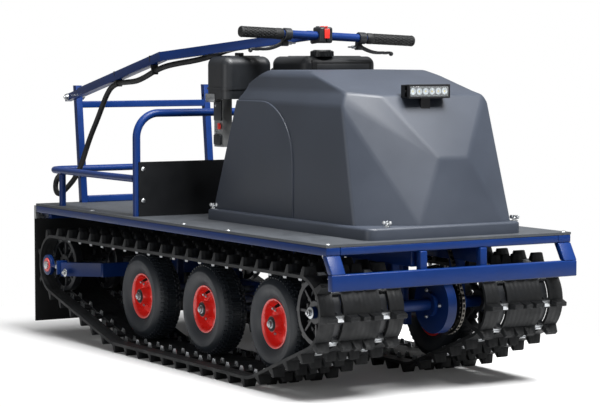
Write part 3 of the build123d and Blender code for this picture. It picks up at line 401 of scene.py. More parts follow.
def peg(shape, place, radius, low, high, steps, edge=0.0, tip=None):  # a pin along the place's Z
    known = set(shape.verts)
    middle = place @ Matrix.Translation((0, 0, (low + high) / 2))
    bmesh.ops.create_cone(shape, cap_ends=True, segments=steps, radius1=radius,
                          radius2=radius if tip is None else tip, depth=high - low, matrix=middle)
    if edge:
        bevelEdges(shape, sharpEdges(edgesOf(added(shape, known)), 50), edge, 2)


def lathe(shape, place, profile, steps):  # turns (radius, along) points round the place's Z
    known = set(shape.verts)
    verts = [shape.verts.new((radius, 0, along)) for radius, along in profile]
    edges = [shape.edges.new(pair) for pair in zip(verts, verts[1:])]
    bmesh.ops.spin(shape, geom=verts + edges, cent=(0, 0, 0), axis=(0, 0, 1), angle=2 * pi, steps=steps,
                   use_merge=True)
    bmesh.ops.transform(shape, matrix=place, verts=added(shape, known))


def turnedFaces(shape, place, profile, steps):  # each face of a turned profile: step, radius and place along
    known = set(shape.faces)
    lathe(shape, place, profile, steps)
    fresh = [face for face in shape.faces if face not in known]
    bmesh.ops.recalc_face_normals(shape, faces=fresh)
    inverse = place.inverted()
    for face in fresh:
        local = inverse @ face.calc_center_median()
        step = int((atan2(local.y, local.x) + 2 * pi) / (2 * pi / steps) + 0.01)
        yield face, step, hypot(local.x, local.y), local.z


def hexBolt(shape, point, axis, size, washer):  # washer, hexagon head and thread end
    place = lined(point, axis)
    if washer:
        peg(shape, place, size * washer, 0, size * 0.3, 20, size * 0.1)
    peg(shape, place, size * 1.1, size * 0.3, size * 1.25, 6, size * 0.12)
    peg(shape, place, size * 0.55, size * 1.2, size * 1.7, 12, size * 0.1)


def meshOf(name, shape):
    mesh = bpy.data.meshes.new(name)
    shape.to_mesh(mesh)
    shape.free()
    return mesh


def joinInto(total, shape):  # moves a drawn shape into another
    mesh = meshOf("joined", shape)
    total.from_mesh(mesh)
    bpy.data.meshes.remove(mesh)


def addSmooth(name, mesh, finish, angle):  # an object shaded smooth, with its edges sharp past an angle
    mesh.shade_smooth()
    mesh.set_sharp_from_angle(angle=radians(angle))
    mesh.materials.append(finish)
    return addObject(name, mesh)


def addPiece(name, shape, slot, body="chassis", replaced=(), finish=None, smooth=38, merge=True):
    if merge:
        bmesh.ops.remove_doubles(shape, verts=shape.verts, dist=0.002)
        bmesh.ops.recalc_face_normals(shape, faces=shape.faces)
    bmesh.ops.scale(shape, vec=(0.001, 0.001, 0.001), verts=shape.verts)
    piece = addSmooth(name, meshOf(name, shape), finish or finishes[slot], smooth)
    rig.ride(piece, body)
    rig.slot(piece, slot)
    if replaced:
        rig.replaces(piece, *replaced)


# Control hose: one smooth line in three stretches, along the rail, through the free loop and along the arm
hose = dict(
    diameter=0.016, shift=0.013, armY=-0.2467, bend=(0.1, 0.62),
    arm=[(-0.5206, 0, 0.7561), (-0.5, 0, 0.7604), (-0.45, 0, 0.763), (-0.395, 0, 0.766), (-0.34, 0, 0.778),
         (-0.285, 0.002, 0.796), (-0.23, 0.007, 0.81), (-0.18, 0.025, 0.819), (-0.135, 0.05, 0.826),
         (-0.097, 0.087, 0.839), (-0.05, 0.108, 0.856), (0.01, 0.134, 0.867), (0.07, 0.161, 0.874),
         (0.125, 0.192, 0.881), (0.165, 0.224, 0.888), (0.203, 0.233, 0.8915)],
    loop=[(-0.521, 0, 0.756), (-0.551, 0, 0.7497), (-0.583, 0, 0.727), (-0.612, -0.001, 0.692),
          (-0.645, -0.003, 0.648), (-0.678, -0.007, 0.604), (-0.7, -0.013, 0.56), (-0.711, -0.023, 0.515),
          (-0.723, -0.038, 0.474), (-0.742, -0.056, 0.444), (-0.762, -0.067, 0.425), (-0.782, -0.071, 0.423),
          (-0.797, -0.07, 0.437), (-0.799, -0.068, 0.457), (-0.786, -0.067, 0.473), (-0.76, -0.07, 0.483),
          (-0.74, -0.0725, 0.488)],
    rail=[(-0.201, -0.0693, 0.495), (-0.25, -0.0695, 0.496), (-0.33, -0.0735, 0.497), (-0.48, -0.0742, 0.496),
          (-0.66, -0.0749, 0.497), (-0.72, -0.075, 0.493), (-0.74, -0.0725, 0.488)],
)


def hoseCurve(name, route, bevel):
    curve = bpy.data.curves.new(name, "CURVE")
    curve.dimensions = "3D"
    curve.resolution_u = 10
    curve.bevel_depth = bevel
    curve.bevel_resolution = 5
    curve.use_fill_caps = bevel > 0
    line = curve.splines.new("NURBS")
    line.points.add(len(route) - 1)
    for point, (x, dy, z) in zip(line.points, route):
        point.co = (x + hose["shift"], hose["armY"] + dy, z, 1)
    line.order_u = 3
    line.use_endpoint_u = True
    return addObject(name, curve)


def hoseMesh(name, route):  # the tube as a mesh, and the points of its middle line
    bare = hoseCurve(name + "Line", route, 0)
    path = [tuple(v.co) for v in bpy.data.meshes.new_from_object(bare).vertices]
    bpy.data.objects.remove(bare)
    tube = hoseCurve(name + "Tube", route, hose["diameter"] / 2)
    mesh = bpy.data.meshes.new_from_object(tube)
    bpy.data.objects.remove(tube)
    mesh.materials.clear()
    piece = addSmooth(name, mesh, finishes["rubber"], 50)
    length = sum((Vector(b) - Vector(a)).length for a, b in zip(path, path[1:]))
    return piece, path, length


def addHose():
    stretches = (("hoseAlongRail", "rail", "hose_on_rail", "chassis", "taut"),
                 ("hoseFreeLoop", "loop", "hose_loop", None, "hanging"),
                 ("hoseAlongArm", "arm", "hose_on_arm", "tiller", "taut"))
    for name, key, node, body, lay in stretches:
        piece, path, length = hoseMesh(name, hose[key])
        if body:
            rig.ride(piece, body)
        else:
            first, last = (path[int(len(path) * share)] for share in hose["bend"])
            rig.blend(piece, "tiller", "chassis", first, last)
        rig.slot(piece, "rubber")
        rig.replaces(piece, node)
        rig.cord(piece, exit=path[0], length=length, diameter=hose["diameter"], far_end="object",
                stiffness="stiff", lay=lay, path=path)
        print("hose stretch", name, round(length, 3), "m")


addHose()


# Belt line: wraps round wheels and the straight runs between them, walked from the rear along the ground
def beltLine(circles):
    leans = []
    for (x0, z0, r0), (x1, z1, r1) in zip(circles, circles[1:] + circles[:1]):
        span = hypot(x1 - x0, z1 - z0)
        leans.append(atan2(z1 - z0, x1 - x0) - pi / 2 + asin((r0 - r1) / span))
    runs = []
    for i, (x, z, r) in enumerate(circles):
        first = leans[i - 1]
        last = leans[i] if leans[i] > first else leans[i] + 2 * pi
        runs.append(("wrap", (last - first) * r, x, z, r, first))
        x1, z1, r1 = circles[(i + 1) % len(circles)]
        start = Vector((x + r * cos(leans[i]), z + r * sin(leans[i])))
        end = Vector((x1 + r1 * cos(leans[i]), z1 + r1 * sin(leans[i])))
        runs.append(("straight", (end - start).length, start, end, leans[i], None))
    return runs


def beltLength(runs):
    return sum(run[1] for run in runs)


def onBelt(runs, along, rise):  # point at a distance along the line and a height outward from it
    along %= beltLength(runs)
    for run in runs:
        if along <= run[1]:
            break
        along -= run[1]
    if run[0] == "wrap":
        kind, length, x, z, r, first = run
        lean = first + along / r
        return x + (r + rise) * cos(lean), z + (r + rise) * sin(lean)
    kind, length, start, end, lean, none = run
    point = start.lerp(end, along / length)
    return point.x + rise * cos(lean), point.y + rise * sin(lean)


def layOnBelt(link, runs, count, middle, side):  # copies of a flat link along the whole line
    total = bmesh.new()
    length = beltLength(runs)
    for i in range(count):
        copy = link.copy()
        for vert in copy.verts:
            x, z = onBelt(runs, (i + 0.5) / count * length + vert.co.x, vert.co.z)
            vert.co = (x, side * (middle + vert.co.y), z)
        joinInto(total, copy)
    link.free()
    return total


track = dict(columns=(0, 42.5, 66.5, 175.5, 199.5, 242), belt=8.0, gap=0.3, window=50.0, lugPitch=73.0,
             lugs=((0, 41, 0.78), (70, 105, 0.74), (105, 137, 0.6), (137, 172, 0.74), (201, 242, 0.78)),
             lugFoot=19.0, lugTip=9.0, lugHeight=21.7, lugEdge=1.6, crownRim=2.6, crownSink=2.4,
             clips=((41.5, 67.5), (174.5, 200.5)), clipHalf=8.5, clipRise=2.6, tongueHalf=4.0, tongueRise=5.2,
             horn=13.0, hornHalf=13.0, hornThick=1.8)


def wheelCircles(grow):  # idler, first and last road wheel and sprocket, from the model's own boxes
    low, high = nodeBox("tyres")
    radius = (high.z - low.z) / 2
    height = (high.z + low.z) / 2
    circles = [nodeRound("idler_wheels"), (low.x + radius, height, radius), (high.x - radius, height, radius),
               nodeRound("drive_sprockets")]
    return [(x, z, r + grow) for x, z, r in circles]


def beltLink(s, pitch):  # one pitch of belt with the halves of its windows
    link = bmesh.new()
    half = pitch / 2
    bridge = half - s["window"] / 2
    steps = (bridge / 2, bridge, (half + bridge) / 2, half)
    rows = [-step for step in reversed(steps)] + [0, *steps]
    bmesh.ops.create_grid(link, x_segments=8, y_segments=5, size=1)
    for vert in link.verts:
        vert.co.x = rows[round((vert.co.x + 1) * 4)]
        vert.co.y = s["columns"][round((vert.co.y + 1) * 2.5)]
    openings = [f for f in link.faces if abs(f.calc_center_median().x) > bridge
                and any(a < f.calc_center_median().y < b for a, b in (s["columns"][1:3], s["columns"][3:5]))]
    bmesh.ops.delete(link, geom=openings, context="FACES")
    known = set(link.verts)
    bmesh.ops.extrude_face_region(link, geom=link.faces[:], use_keep_orig=True)
    bmesh.ops.translate(link, vec=(0, 0, -s["belt"]), verts=added(link, known))
    ends = [f for f in link.faces if all(abs(abs(v.co.x) - half) < 0.01 for v in f.verts)]
    bmesh.ops.delete(link, geom=ends, context="FACES_ONLY")
    return link


def lugLink(s):  # tapered lugs with hollow crowns
    link = bmesh.new()
    for inner, outer, narrow in s["lugs"]:
        verts = slab(link, (-s["lugFoot"] / 2, inner, -1), (s["lugFoot"] / 2, outer, s["lugHeight"]))
        top = [v for v in verts if v.co.z > 1]
        middle = Vector((0, (inner + outer) / 2, 0))
        taper = (s["lugTip"] / s["lugFoot"], narrow, 1)
        bmesh.ops.scale(link, vec=taper, verts=top, space=Matrix.Translation(-middle))
        crown = [f for f in link.faces if all(v in top for v in f.verts)]
        bmesh.ops.inset_region(link, faces=crown, thickness=s["crownRim"], depth=0)
        bmesh.ops.translate(link, vec=(0, 0, -s["crownSink"]), verts=crown[0].verts)
        bevelEdges(link, sharpEdges(edgesOf(verts), 30), s["lugEdge"], 2)
    return link


def clipLink(s):  # folded zinc sleeve on each bridge, with guide horns on the inner side
    link = bmesh.new()
    for inner, outer in s["clips"]:
        half, tongue, long = s["clipHalf"], s["tongueHalf"], s["hornHalf"]
        slab(link, (-half, inner, 0.1 - s["belt"]), (half, outer, s["clipRise"]), 2.2, 2)
        slab(link, (-tongue, inner + 3, 1), (tongue, outer - 3, s["tongueRise"]), 1.6, 2)
        for edge in (inner - s["hornThick"] / 2, outer - s["hornThick"] / 2):
            horn = slab(link, (-long, edge, -s["belt"] - s["horn"]), (long, edge + s["hornThick"], -5))
            tips = [v for v in horn if v.co.z < -s["belt"] - 5]
            bmesh.ops.scale(link, vec=(0.5, 1, 1), verts=tips)
    return link


def addTracks(s):
    runs = beltLine(wheelCircles(s["gap"] + s["belt"]))
    length = beltLength(runs)
    count = round(length / s["lugPitch"])
    inner = nodeBox("track_left")[0].y
    for side, word in ((1, "Left"), (-1, "Right")):
        belt = layOnBelt(beltLink(s, length / count), runs, count, inner, side)
        bmesh.ops.remove_doubles(belt, verts=belt.verts, dist=0.01)
        bmesh.ops.recalc_face_normals(belt, faces=belt.faces)
        lugs = layOnBelt(lugLink(s), runs, count, inner, side)
        bmesh.ops.recalc_face_normals(lugs, faces=lugs.faces)
        joinInto(belt, lugs)
        addPiece("trackBelt" + word, belt, "track_rubber", replaced=("track_" + word.lower(),), merge=False)
        addPiece("trackClips" + word, layOnBelt(clipLink(s), runs, count, inner, side), "zinc")
    print("tracks:", count, "links a side")


addTracks(track)

# Road wheels
wheel = dict(
    count=3, y=244.0, blocks=56, tread=3.0, treadRows=((122.9, 0), (120.5, 1), (117, 0)),
    tyre=((58, 27), (63, 28.5), (68, 31), (72, 35.5), (74, 36.2), (76, 37.6), (86, 41.4), (95, 42.4),
          (99, 41.9), (101, 42.3), (103, 41.4), (110, 37.6), (116, 31.5), (120, 23.5), (122.6, 14),
          (123.3, 6)),
    rim=((10.3, 38), (20.5, 38), (22, 36.5), (22, 20), (24, 14), (30, 8.5), (40, 6), (49, 7.5), (53.5, 14),
         (55.5, 24), (58.5, 29), (62, 31), (64.4, 30.6), (65, 28.8), (64.4, 27.4), (57.7, 27.2),
         (57.7, -27.2), (64.4, -27.4), (65, -29), (62, -30.8), (56, -26), (54, 0), (50, 3), (24, 3),
         (22, -10), (22, -38), (10.3, -38), (10.3, 38)),
    seal=((10.5, 38.1), (19, 38.1), (19.6, 38.8), (19, 39.4), (12, 39.4), (10.5, 38.1)),
    hub=((11.5, 39.2, 41.6, 24, 0.5), (9.2, 41.4, 47.6, 6, 0.8), (5.0, 47.0, 49.6, 14, 0.6)),
    boltCircle=43.5, boltFace=6.3, stem=(47, 0, 12), stemTurn=100, stemLean=-24)


def wheelPlaces(s):
    low, high = nodeBox("tyres")
    radius = (high.z - low.z) / 2
    first = low.x + radius
    step = (high.x - radius - first) / (s["count"] - 1)
    middle = (low.z + high.z) / 2
    return [(Vector((first + i * step, side * s["y"], middle)), side)
            for side in (-1, 1) for i in range(s["count"])]


def addTyres(s):
    shape = bmesh.new()
    ring = list(s["tyre"]) + [(r, -a) for r, a in reversed(s["tyre"])]
    for point, side in wheelPlaces(s):
        blocks = []
        for face, step, reach, along in turnedFaces(shape, lined(point, (0, side, 0)), ring, 2 * s["blocks"]):
            row = next((row for least, row in s["treadRows"] if reach > least), None)
            if row is not None and (step + row) % 2 == 0:
                blocks.append(face)
        bmesh.ops.inset_individual(shape, faces=blocks, thickness=0.7, depth=s["tread"])
    addPiece("roadTyres", shape, "tyre_rubber", replaced=("tyres",), smooth=40, merge=False)


def addRims(s):
    rims = bmesh.new()
    zinc = bmesh.new()
    seals = bmesh.new()
    for point, side in wheelPlaces(s):
        place = lined(point, (0, side, 0))
        lathe(rims, place, s["rim"], 48)
        for around in turnsOf(place @ Matrix.Rotation(pi / 4, 4, "Z"), 4):  # bolts of the two pressed halves
            hexBolt(zinc, around @ Vector((s["boltCircle"], 0, s["boltFace"])), (0, side, 0), 3.6, 0)
        lathe(seals, place, s["seal"], 36)
        for radius, low, high, steps, edge in s["hub"]:
            peg(zinc, place, radius, low, high, steps, edge)
        stem = place @ Matrix.Rotation(radians(s["stemTurn"]), 4, "Z") @ Matrix.Translation(s["stem"])
        stem = stem @ Matrix.Rotation(radians(s["stemLean"]), 4, "Y")
        peg(seals, stem, 4.6, -6, 14, 14, 0.8, 3.4)
        peg(zinc, stem, 3.2, 13, 22, 12, 0.6)
    addPiece("wheelRims", rims, "red_paint", replaced=("rims",), smooth=45)
    addPiece("bearingSeals", seals, "rubber")
    addPiece("wheelBolts", zinc, "zinc")


addTyres(wheel)
addRims(wheel)
print("road wheels done")

# Sprockets and idlers
discs = dict(width=24.0, spokes=8, tooth=9.0, rim=13.0, hub=30.0, bore=15.4, outer=12.0, inner=145.0)


def addDiscs(s):
    kinds = (("drive_sprockets", "driveSprockets", True), ("idler_wheels", "idlerDiscs", False))
    for node, name, toothed in kinds:
        shape = bmesh.new()
        x, z, radius = nodeRound(node)
        reach = nodeBox(node)[1].y
        half = s["width"] / 2
        foot, bore, hub = radius - s["rim"], s["bore"], s["hub"]
        rimRing = [(foot, -half), (radius - 1.5, -half), (radius, 1.5 - half), (radius, half - 1.5),
                   (radius - 1.5, half), (foot, half), (foot, -half)]
        hubRing = [(bore, -half - 1), (hub - 2, -half - 1), (hub, 1 - half), (hub, half - 1),
                   (hub - 2, half + 1), (bore, half + 1), (bore, -half - 1)]
        for y in (s["outer"] - reach, s["inner"] - reach, reach - s["inner"], reach - s["outer"]):
            place = lined((x, y, z), (0, 1, 0))
            for ring in (rimRing, hubRing):
                lathe(shape, place, ring, 48)
            for around in turnsOf(place, s["spokes"]):
                slab(shape, (28, -4, -half + 2), (radius - 11, 4, half - 2), 1.2, 1, around)
                slab(shape, (radius * 0.55, -16, -2.5), (radius * 0.64, 16, 2.5), 0, 1, around)
                if toothed:
                    crest = radius + s["tooth"]
                    tooth = slab(shape, (radius - 4, -11, -half + 3), (crest, 11, half - 3), 1.5, 2, around)
                    tips = [v for v in tooth if (around.inverted() @ v.co).x > radius]
                    bmesh.ops.scale(shape, vec=(1, 0.6, 0.85), verts=tips, space=around.inverted())
        addPiece(name, shape, "black_plastic", replaced=(node,))


addDiscs(discs)
print("sprockets done")


# Tube frame: copies of the welded tubes with rolled corners
def addRoundedTube(node, name, width, body="chassis"):
    shape = bmesh.new()
    shape.from_mesh(nodes[node].data)
    bmesh.ops.remove_doubles(shape, verts=shape.verts, dist=1e-6)
    bmesh.ops.dissolve_limit(shape, angle_limit=radians(2), verts=shape.verts, edges=shape.edges)
    bmesh.ops.scale(shape, vec=(1000, 1000, 1000), verts=shape.verts)
    bevelEdges(shape, sharpEdges(shape.edges, 35), width, 3)
    addPiece(name, shape, slotOf[node], body, (node,))


tubes = (("side_rails", "sideRails", 3.0), ("cross_members", "crossMembers", 3.0),
         ("longitudinals", "longitudinalTubes", 2.5), ("bumper_beam", "bumperBeam", 3.0),
         ("bumper_stays", "bumperStays", 2.5), ("wheel_beams", "wheelBeams", 2.5),
         ("beam_posts", "beamPosts", 2.5), ("tall_posts", "tallPosts", 2.2), ("post_bars", "postBars", 2.2),
         ("tensioner_frame", "tensionerFrame", 1.6), ("engine_base", "engineBase", 2.0),
         ("jackshaft_stand", "jackshaftStand", 2.0))
for node, name, width in tubes:
    addRoundedTube(node, name, width)
addRoundedTube("tiller_arm", "tillerArm", 2.4, "tiller")
print("frame tubes done")

# Hood: a stepped section run forward and cut by the facets, its ridges rolled, opened at the rear and below
hoodSizes = dict(
    middle=11.0, half=214.0, ledge=423.0, start=-60.0, front=803.0, roll=8.0, wall=4.0, closeUp=8.0,
    step=((0, 722), (18, 751), (23, 789), (37, 803)), swell=4.0, bulgeEnd=418.0, bulgeArc=160.0,
    skirtCorner=26.0, skirtRim=7.0,
    facets=(((761, 14, 587), (761, 102, 587), (673, 14, 742)),  # upper front
            ((673, 14, 742), (673, 102, 742), (448, 14, 803)),  # slope of the roof
            ((761, 14, 587), (788, 194, 423), (788, -62, 423)),  # lower front
            ((761, 14, 587), (788, -62, 423), (648, -203, 715)),  # right cheek
            ((761, 102, 587), (693, 225, 672), (788, 194, 423)),  # left cheek
            ((788, -62, 423), (703, -203, 423), (648, -203, 715))),  # right corner
    rear=((0, 419), (132, 728), (156, 766), (245, 808)))


def cutAway(shape, point, normal, mark):
    geom = shape.verts[:] + shape.edges[:] + shape.faces[:]
    cut = bmesh.ops.bisect_plane(shape, geom=geom, plane_co=point, plane_no=normal, clear_outer=True,
                                 dist=0.001)
    rim = [g for g in cut["geom_cut"] if isinstance(g, bmesh.types.BMEdge)]
    for face in bmesh.ops.edgenet_fill(shape, edges=rim)["faces"]:
        face.material_index = mark


def rearCuts(s):  # planes of the rear edge, from the skirt up to the roof
    return [((x0, 0, z0), Vector((z0 - z1, 0, x1 - x0)).normalized())
            for (x0, z0), (x1, z1) in zip(s["rear"], s["rear"][1:])]


def addBulge(shape, s, side):  # flat swelling of a side wall, its upper front corner a wide arc
    wall = s["middle"] + side * s["half"]
    bulge = bmesh.new()
    low, high = sorted((wall - side, wall + side * s["swell"]))
    slab(bulge, (s["start"], low, s["ledge"] - s["wall"]), (s["bulgeEnd"], high, s["step"][0][1]))
    corner = [e for e in bulge.edges if all(v.co.x > 0 and v.co.z > s["ledge"] for v in e.verts)]
    bevelEdges(bulge, corner, s["bulgeArc"], 16)
    cutAway(bulge, *rearCuts(s)[0], 0)
    lips = [e for e in sharpEdges(bulge.edges, 40) if all(abs(v.co.y - wall) > 2 for v in e.verts)]
    bevelEdges(bulge, lips, s["swell"] * 0.8, 3)
    joinInto(shape, bulge)


def addHood(s):
    shape = bmesh.new()
    flank = [(s["half"], s["ledge"] - s["wall"])] + [(s["half"] - inward, z) for inward, z in s["step"]]
    section = flank + [(-y, z) for y, z in reversed(flank)]
    profile = shape.faces.new([shape.verts.new((s["start"], s["middle"] + y, z)) for y, z in section])
    known = set(shape.verts)
    bmesh.ops.extrude_face_region(shape, geom=[profile], use_keep_orig=True)
    bmesh.ops.translate(shape, vec=(s["front"] - s["start"], 0, 0), verts=added(shape, known))
    bmesh.ops.recalc_face_normals(shape, faces=shape.faces)
    inside = Vector((300, s["middle"], 500))  # any point under the roof
    for a, b, c in s["facets"]:
        a, b, c = Vector(a), Vector(b), Vector(c)
        normal = (b - a).cross(c - a).normalized()
        if normal.dot(inside - a) > 0:
            normal = -normal
        cutAway(shape, a, normal, 0)
    for point, normal in rearCuts(s):
        cutAway(shape, point, normal, 1)  # faces marked 1 are open on the real hood
    bmesh.ops.remove_doubles(shape, verts=shape.verts, dist=s["closeUp"])  # corners where cuts nearly meet
    for face in shape.faces:
        if face.normal.z < -0.9:
            face.material_index = 1
    ridges = [e for e in sharpEdges(shape.edges, 12) if all(f.material_index == 0 for f in e.link_faces)]
    bevelEdges(shape, ridges, s["roll"], 4)
    bmesh.ops.delete(shape, geom=[f for f in shape.faces if f.material_index == 1], context="FACES")
    bmesh.ops.recalc_face_normals(shape, faces=shape.faces)
    bmesh.ops.solidify(shape, geom=shape.faces[:], thickness=s["wall"])
    for side in (-1, 1):
        addBulge(shape, s, side)
    for face in shape.faces:
        face.material_index = 0
    addPiece("hoodShell", shape, "hood_plastic", replaced=("hood",), smooth=30, merge=False)
    low, high = nodeBox("hood")
    skirt = bmesh.new()
    slab(skirt, low, (high.x, high.y, s["ledge"]))
    corners = [e for e in skirt.edges if abs(e.verts[0].co.z - e.verts[1].co.z) > 1 and e.verts[0].co.x > 100]
    bevelEdges(skirt, corners, s["skirtCorner"], 5)
    rims = [e for e in sharpEdges(skirt.edges, 40) if all(v.co.z > s["ledge"] - 1 for v in e.verts)]
    bevelEdges(skirt, rims, s["skirtRim"], 3)
    hollow = [f for f in skirt.faces if f.normal.z < -0.9 or f.normal.x < -0.9]
    bmesh.ops.delete(skirt, geom=hollow, context="FACES")
    bmesh.ops.solidify(skirt, geom=skirt.faces[:], thickness=s["wall"])
    addPiece("hoodSkirt", skirt, "hood_plastic", smooth=30, merge=False)


addHood(hoodSizes)
print("hood done")


# Lamp: finned housing, frame, six reflector cups behind a clear plate
lampSizes = dict(cups=6, cupRadius=8.4, frame=5.0, fins=7)


def addLamp(s):
    low, high = nodeBox("lamp_body")
    lensLow, lensHigh = nodeBox("lamp_lens")
    front, back = lensHigh.x, low.x
    z0, z1 = lensLow.z - s["frame"], lensHigh.z + s["frame"]
    middle = (low.y + high.y) / 2
    height = (z0 + z1) / 2
    body = bmesh.new()
    slab(body, (front - 20, low.y, z0), (front - 5, high.y, z1), 3, 3)
    for y0, y1 in ((low.y, lensLow.y), (lensHigh.y, high.y)):
        slab(body, (front - 8, y0, z0), (front + 0.6, y1, z1), 1.6, 2)
    for a, b in ((z0, lensLow.z), (lensHigh.z, z1)):
        slab(body, (front - 8, low.y + 3, a), (front + 0.6, high.y - 3, b), 1.6, 2)
    for i in range(s["fins"]):
        z = z0 + 3 + i * (z1 - z0 - 7.6) / (s["fins"] - 1)
        slab(body, (back + abs(i - 3) * 2.5, low.y + 6, z), (front - 17, high.y - 6, z + 1.7), 0.5, 1)
    for y0, y1 in ((low.y, low.y + 4), (high.y - 4, high.y)):
        slab(body, (back + 8, y0, z0 + 1), (front - 6, y1, z1 - 1), 1.2, 1)
    slab(body, (front - 25, middle - 14, low.z), (front - 17, middle + 14, z0 + 4), 1, 1)
    plate = lensLow.x - 0.6
    slab(body, (plate - 1, lensLow.y, lensLow.z), (plate, lensHigh.y, lensHigh.z))
    for y in (low.y + 2, high.y - 2):
        hexBolt(body, (front - 14, y, height), (0, 1 if y > middle else -1, 0), 2.6, 1.8)
    addPiece("lampHousing", body, "black_paint", replaced=("lamp_body",))
    cups = bmesh.new()
    chips = bmesh.new()
    step = (lensHigh.y - lensLow.y) / s["cups"]
    for i in range(s["cups"]):
        spot = lined((plate, lensLow.y + (i + 0.5) * step, height), (1, 0, 0))
        r = s["cupRadius"]
        lathe(cups, spot, [(r, 0), (r, 1.4), (r - 0.8, 1.8), (r * 0.55, 0.9), (2.6, 0.3), (0, 0.3)], 24)
        peg(chips, spot, 2.4, 0.3, 1.0, 12)
    addPiece("lampReflectors", cups, "lens", finish=chrome)
    addPiece("lampChips", chips, "lens", finish=ledPhosphor)
    glass = bmesh.new()
    slab(glass, (front - 1.2, lensLow.y, lensLow.z), (front, lensHigh.y, lensHigh.z), 0.3, 1)
    addPiece("lampLens", glass, "lens", replaced=("lamp_lens",))


addLamp(lampSizes)
print("lamp done")

# Handlebar: patterned grips, clamped lever perches, curved levers and the switch
barSizes = dict(x=238.0, near=(-258.0, 904.0), far=(290.0, 880.0), gripRadius=15.0, studRows=14,
                gripLengths=(130.0, 155.0), leverDrop=25.0, leverReach=96.0, leverFall=24.0)


def onBar(y):
    (y0, z0), (y1, z1) = barSizes["near"], barSizes["far"]
    return Vector((barSizes["x"], y, z0 + (y - y0) / (y1 - y0) * (z1 - z0)))


def addGrips(s):
    shape = bmesh.new()
    ends = ((s["near"][0], 1, s["gripLengths"][0]), (s["far"][0], -1, s["gripLengths"][1]))
    for end, inward, length in ends:
        start = onBar(end)
        place = lined(start, onBar(end + inward * 10) - start)
        r = s["gripRadius"]
        rows = s["studRows"]
        cap = [(0, 0), (3.2, 0), (3.4, 1.2), (r - 5, 0.4), (r - 1.5, 1.5), (r, 4.5), (r, 7.5), (r - 1.6, 9)]
        body = [(r - 1.6, 9 + i * (length - 33) / rows) for i in range(1, rows + 1)]
        collar = [(r - 1.6, length - 22), (r - 0.3, length - 20), (r, length - 16), (r, length - 5),
                  (r - 1.4, length - 1), (11.6, length), (11.4, 12)]
        studs = []
        for face, step, reach, along in turnedFaces(shape, place, cap + body + collar, 24):
            row = int((along - 9) / ((length - 33) / rows))
            if reach >= r - 3 and 9 < along < length - 24 and (step + row) % 2 == 0:
                studs.append(face)
        bmesh.ops.inset_individual(shape, faces=studs, thickness=0.5, depth=1.3)
    addPiece("handGrips", shape, "rubber", "tiller", ("grips",), merge=False)


def addLevers(s):
    perches = bmesh.new()
    blades = bmesh.new()
    zinc = bmesh.new()
    ends = ((s["near"][0] + s["gripLengths"][0] + 14, -1), (s["far"][0] - s["gripLengths"][1] - 14, 1))
    for y, outward in ends:
        middle = onBar(y)
        along = (onBar(y + 10) - middle).normalized()
        place = lined(middle, along)
        clamp = [(11.4, -11), (14.6, -11), (16, -9.5), (16, 9.5), (14.6, 11), (11.4, 11), (11.4, -11)]
        lathe(perches, place, clamp, 28)
        x, y, z = middle
        slab(perches, (x - 21, y - 8, z - s["leverDrop"] - 5), (x - 6, y + 8, z - 9), 3, 3)
        slab(perches, (x - 22, y - 9, z - s["leverDrop"] - 7), (x - 4, y + 9, z - s["leverDrop"] + 7), 2.4, 2)
        hexBolt(zinc, (x - 15, y, z - 11), (-1, 0, 0.3), 3.0, 1.5)
        adjuster = lined((x - 13, y - outward * 8, z - s["leverDrop"] + 1), (0, -outward, 0))
        peg(zinc, adjuster, 4.2, 0, 14, 16, 0.6)
        peg(zinc, adjuster, 2.2, 13, 26, 12, 0.4)
        blade = bmesh.new()
        slab(blade, (-5.5, 0, -4.5), (5.5, s["leverReach"], 4.5))
        longEdges = [e for e in blade.edges if abs(e.verts[0].co.y - e.verts[1].co.y) > 1]
        bmesh.ops.subdivide_edges(blade, edges=longEdges, cuts=9, use_grid_fill=True)
        for vert in blade.verts:  # dips to the finger bow, then turns up to the tip
            t = vert.co.y / s["leverReach"]
            vert.co.x *= 1.15 - 0.35 * t
            bow = 9 * t * t - 5 * sin(pi * min(1, t * 1.25)) - s["leverFall"] * t
            vert.co.z = vert.co.z * (1.1 - 0.3 * t) + bow
        bevelEdges(blade, sharpEdges(blade.edges, 40), 1.8, 2)
        tip = Matrix.Translation((0, s["leverReach"], 6.5 - s["leverFall"]))
        bmesh.ops.create_uvsphere(blade, u_segments=16, v_segments=10, radius=6.2, matrix=tip)
        spot = Matrix.Translation((x - 12, y + outward * 9, z - s["leverDrop"]))
        spot = spot @ Matrix.Diagonal((1, outward, 1, 1))
        bmesh.ops.transform(blade, matrix=spot, verts=blade.verts)
        joinInto(blades, blade)
    addPiece("leverPerches", perches, "black_plastic", "tiller", ("lever_perches",))
    addPiece("leverBlades", blades, "black_plastic", "tiller", ("brake_levers",))
    addPiece("leverFittings", zinc, "zinc", "tiller")


def addSwitch():
    low, high = nodeBox("switch_box")
    middle = (low + high) / 2
    shell = bmesh.new()
    slab(shell, low, (high.x, middle.y - 0.4, high.z), 6, 4)
    slab(shell, (low.x, middle.y + 0.4, low.z), high, 6, 4)
    core = Vector((5, 5, 5))
    slab(shell, low + core, high - core, 2, 2)
    peg(shell, lined((middle.x - 8, low.y + 9, high.z - 1)), 5, 0, 3.3, 16, 0.8)
    peg(shell, lined((low.x + 3, low.y + 12, low.z + 6), (-1, -0.4, 0)), 6.5, 0, 16, 18, 1.0, 8.5)
    addPiece("switchShell", shell, "black_plastic", "tiller", ("switch_box",))
    button = bmesh.new()
    slab(button, (high.x - 2, low.y + 12, low.z + 12), (high.x + 4, high.y - 13, high.z - 5), 1.6, 3)
    slab(button, (middle.x - 6, low.y + 14, high.z - 2), (high.x - 6, high.y - 12, high.z + 2.4), 1.4, 3)
    addPiece("switchButton", button, "black_plastic", "tiller", finish=switchRed)


addGrips(barSizes)
addLevers(barSizes)
addSwitch()
print("handlebar done")

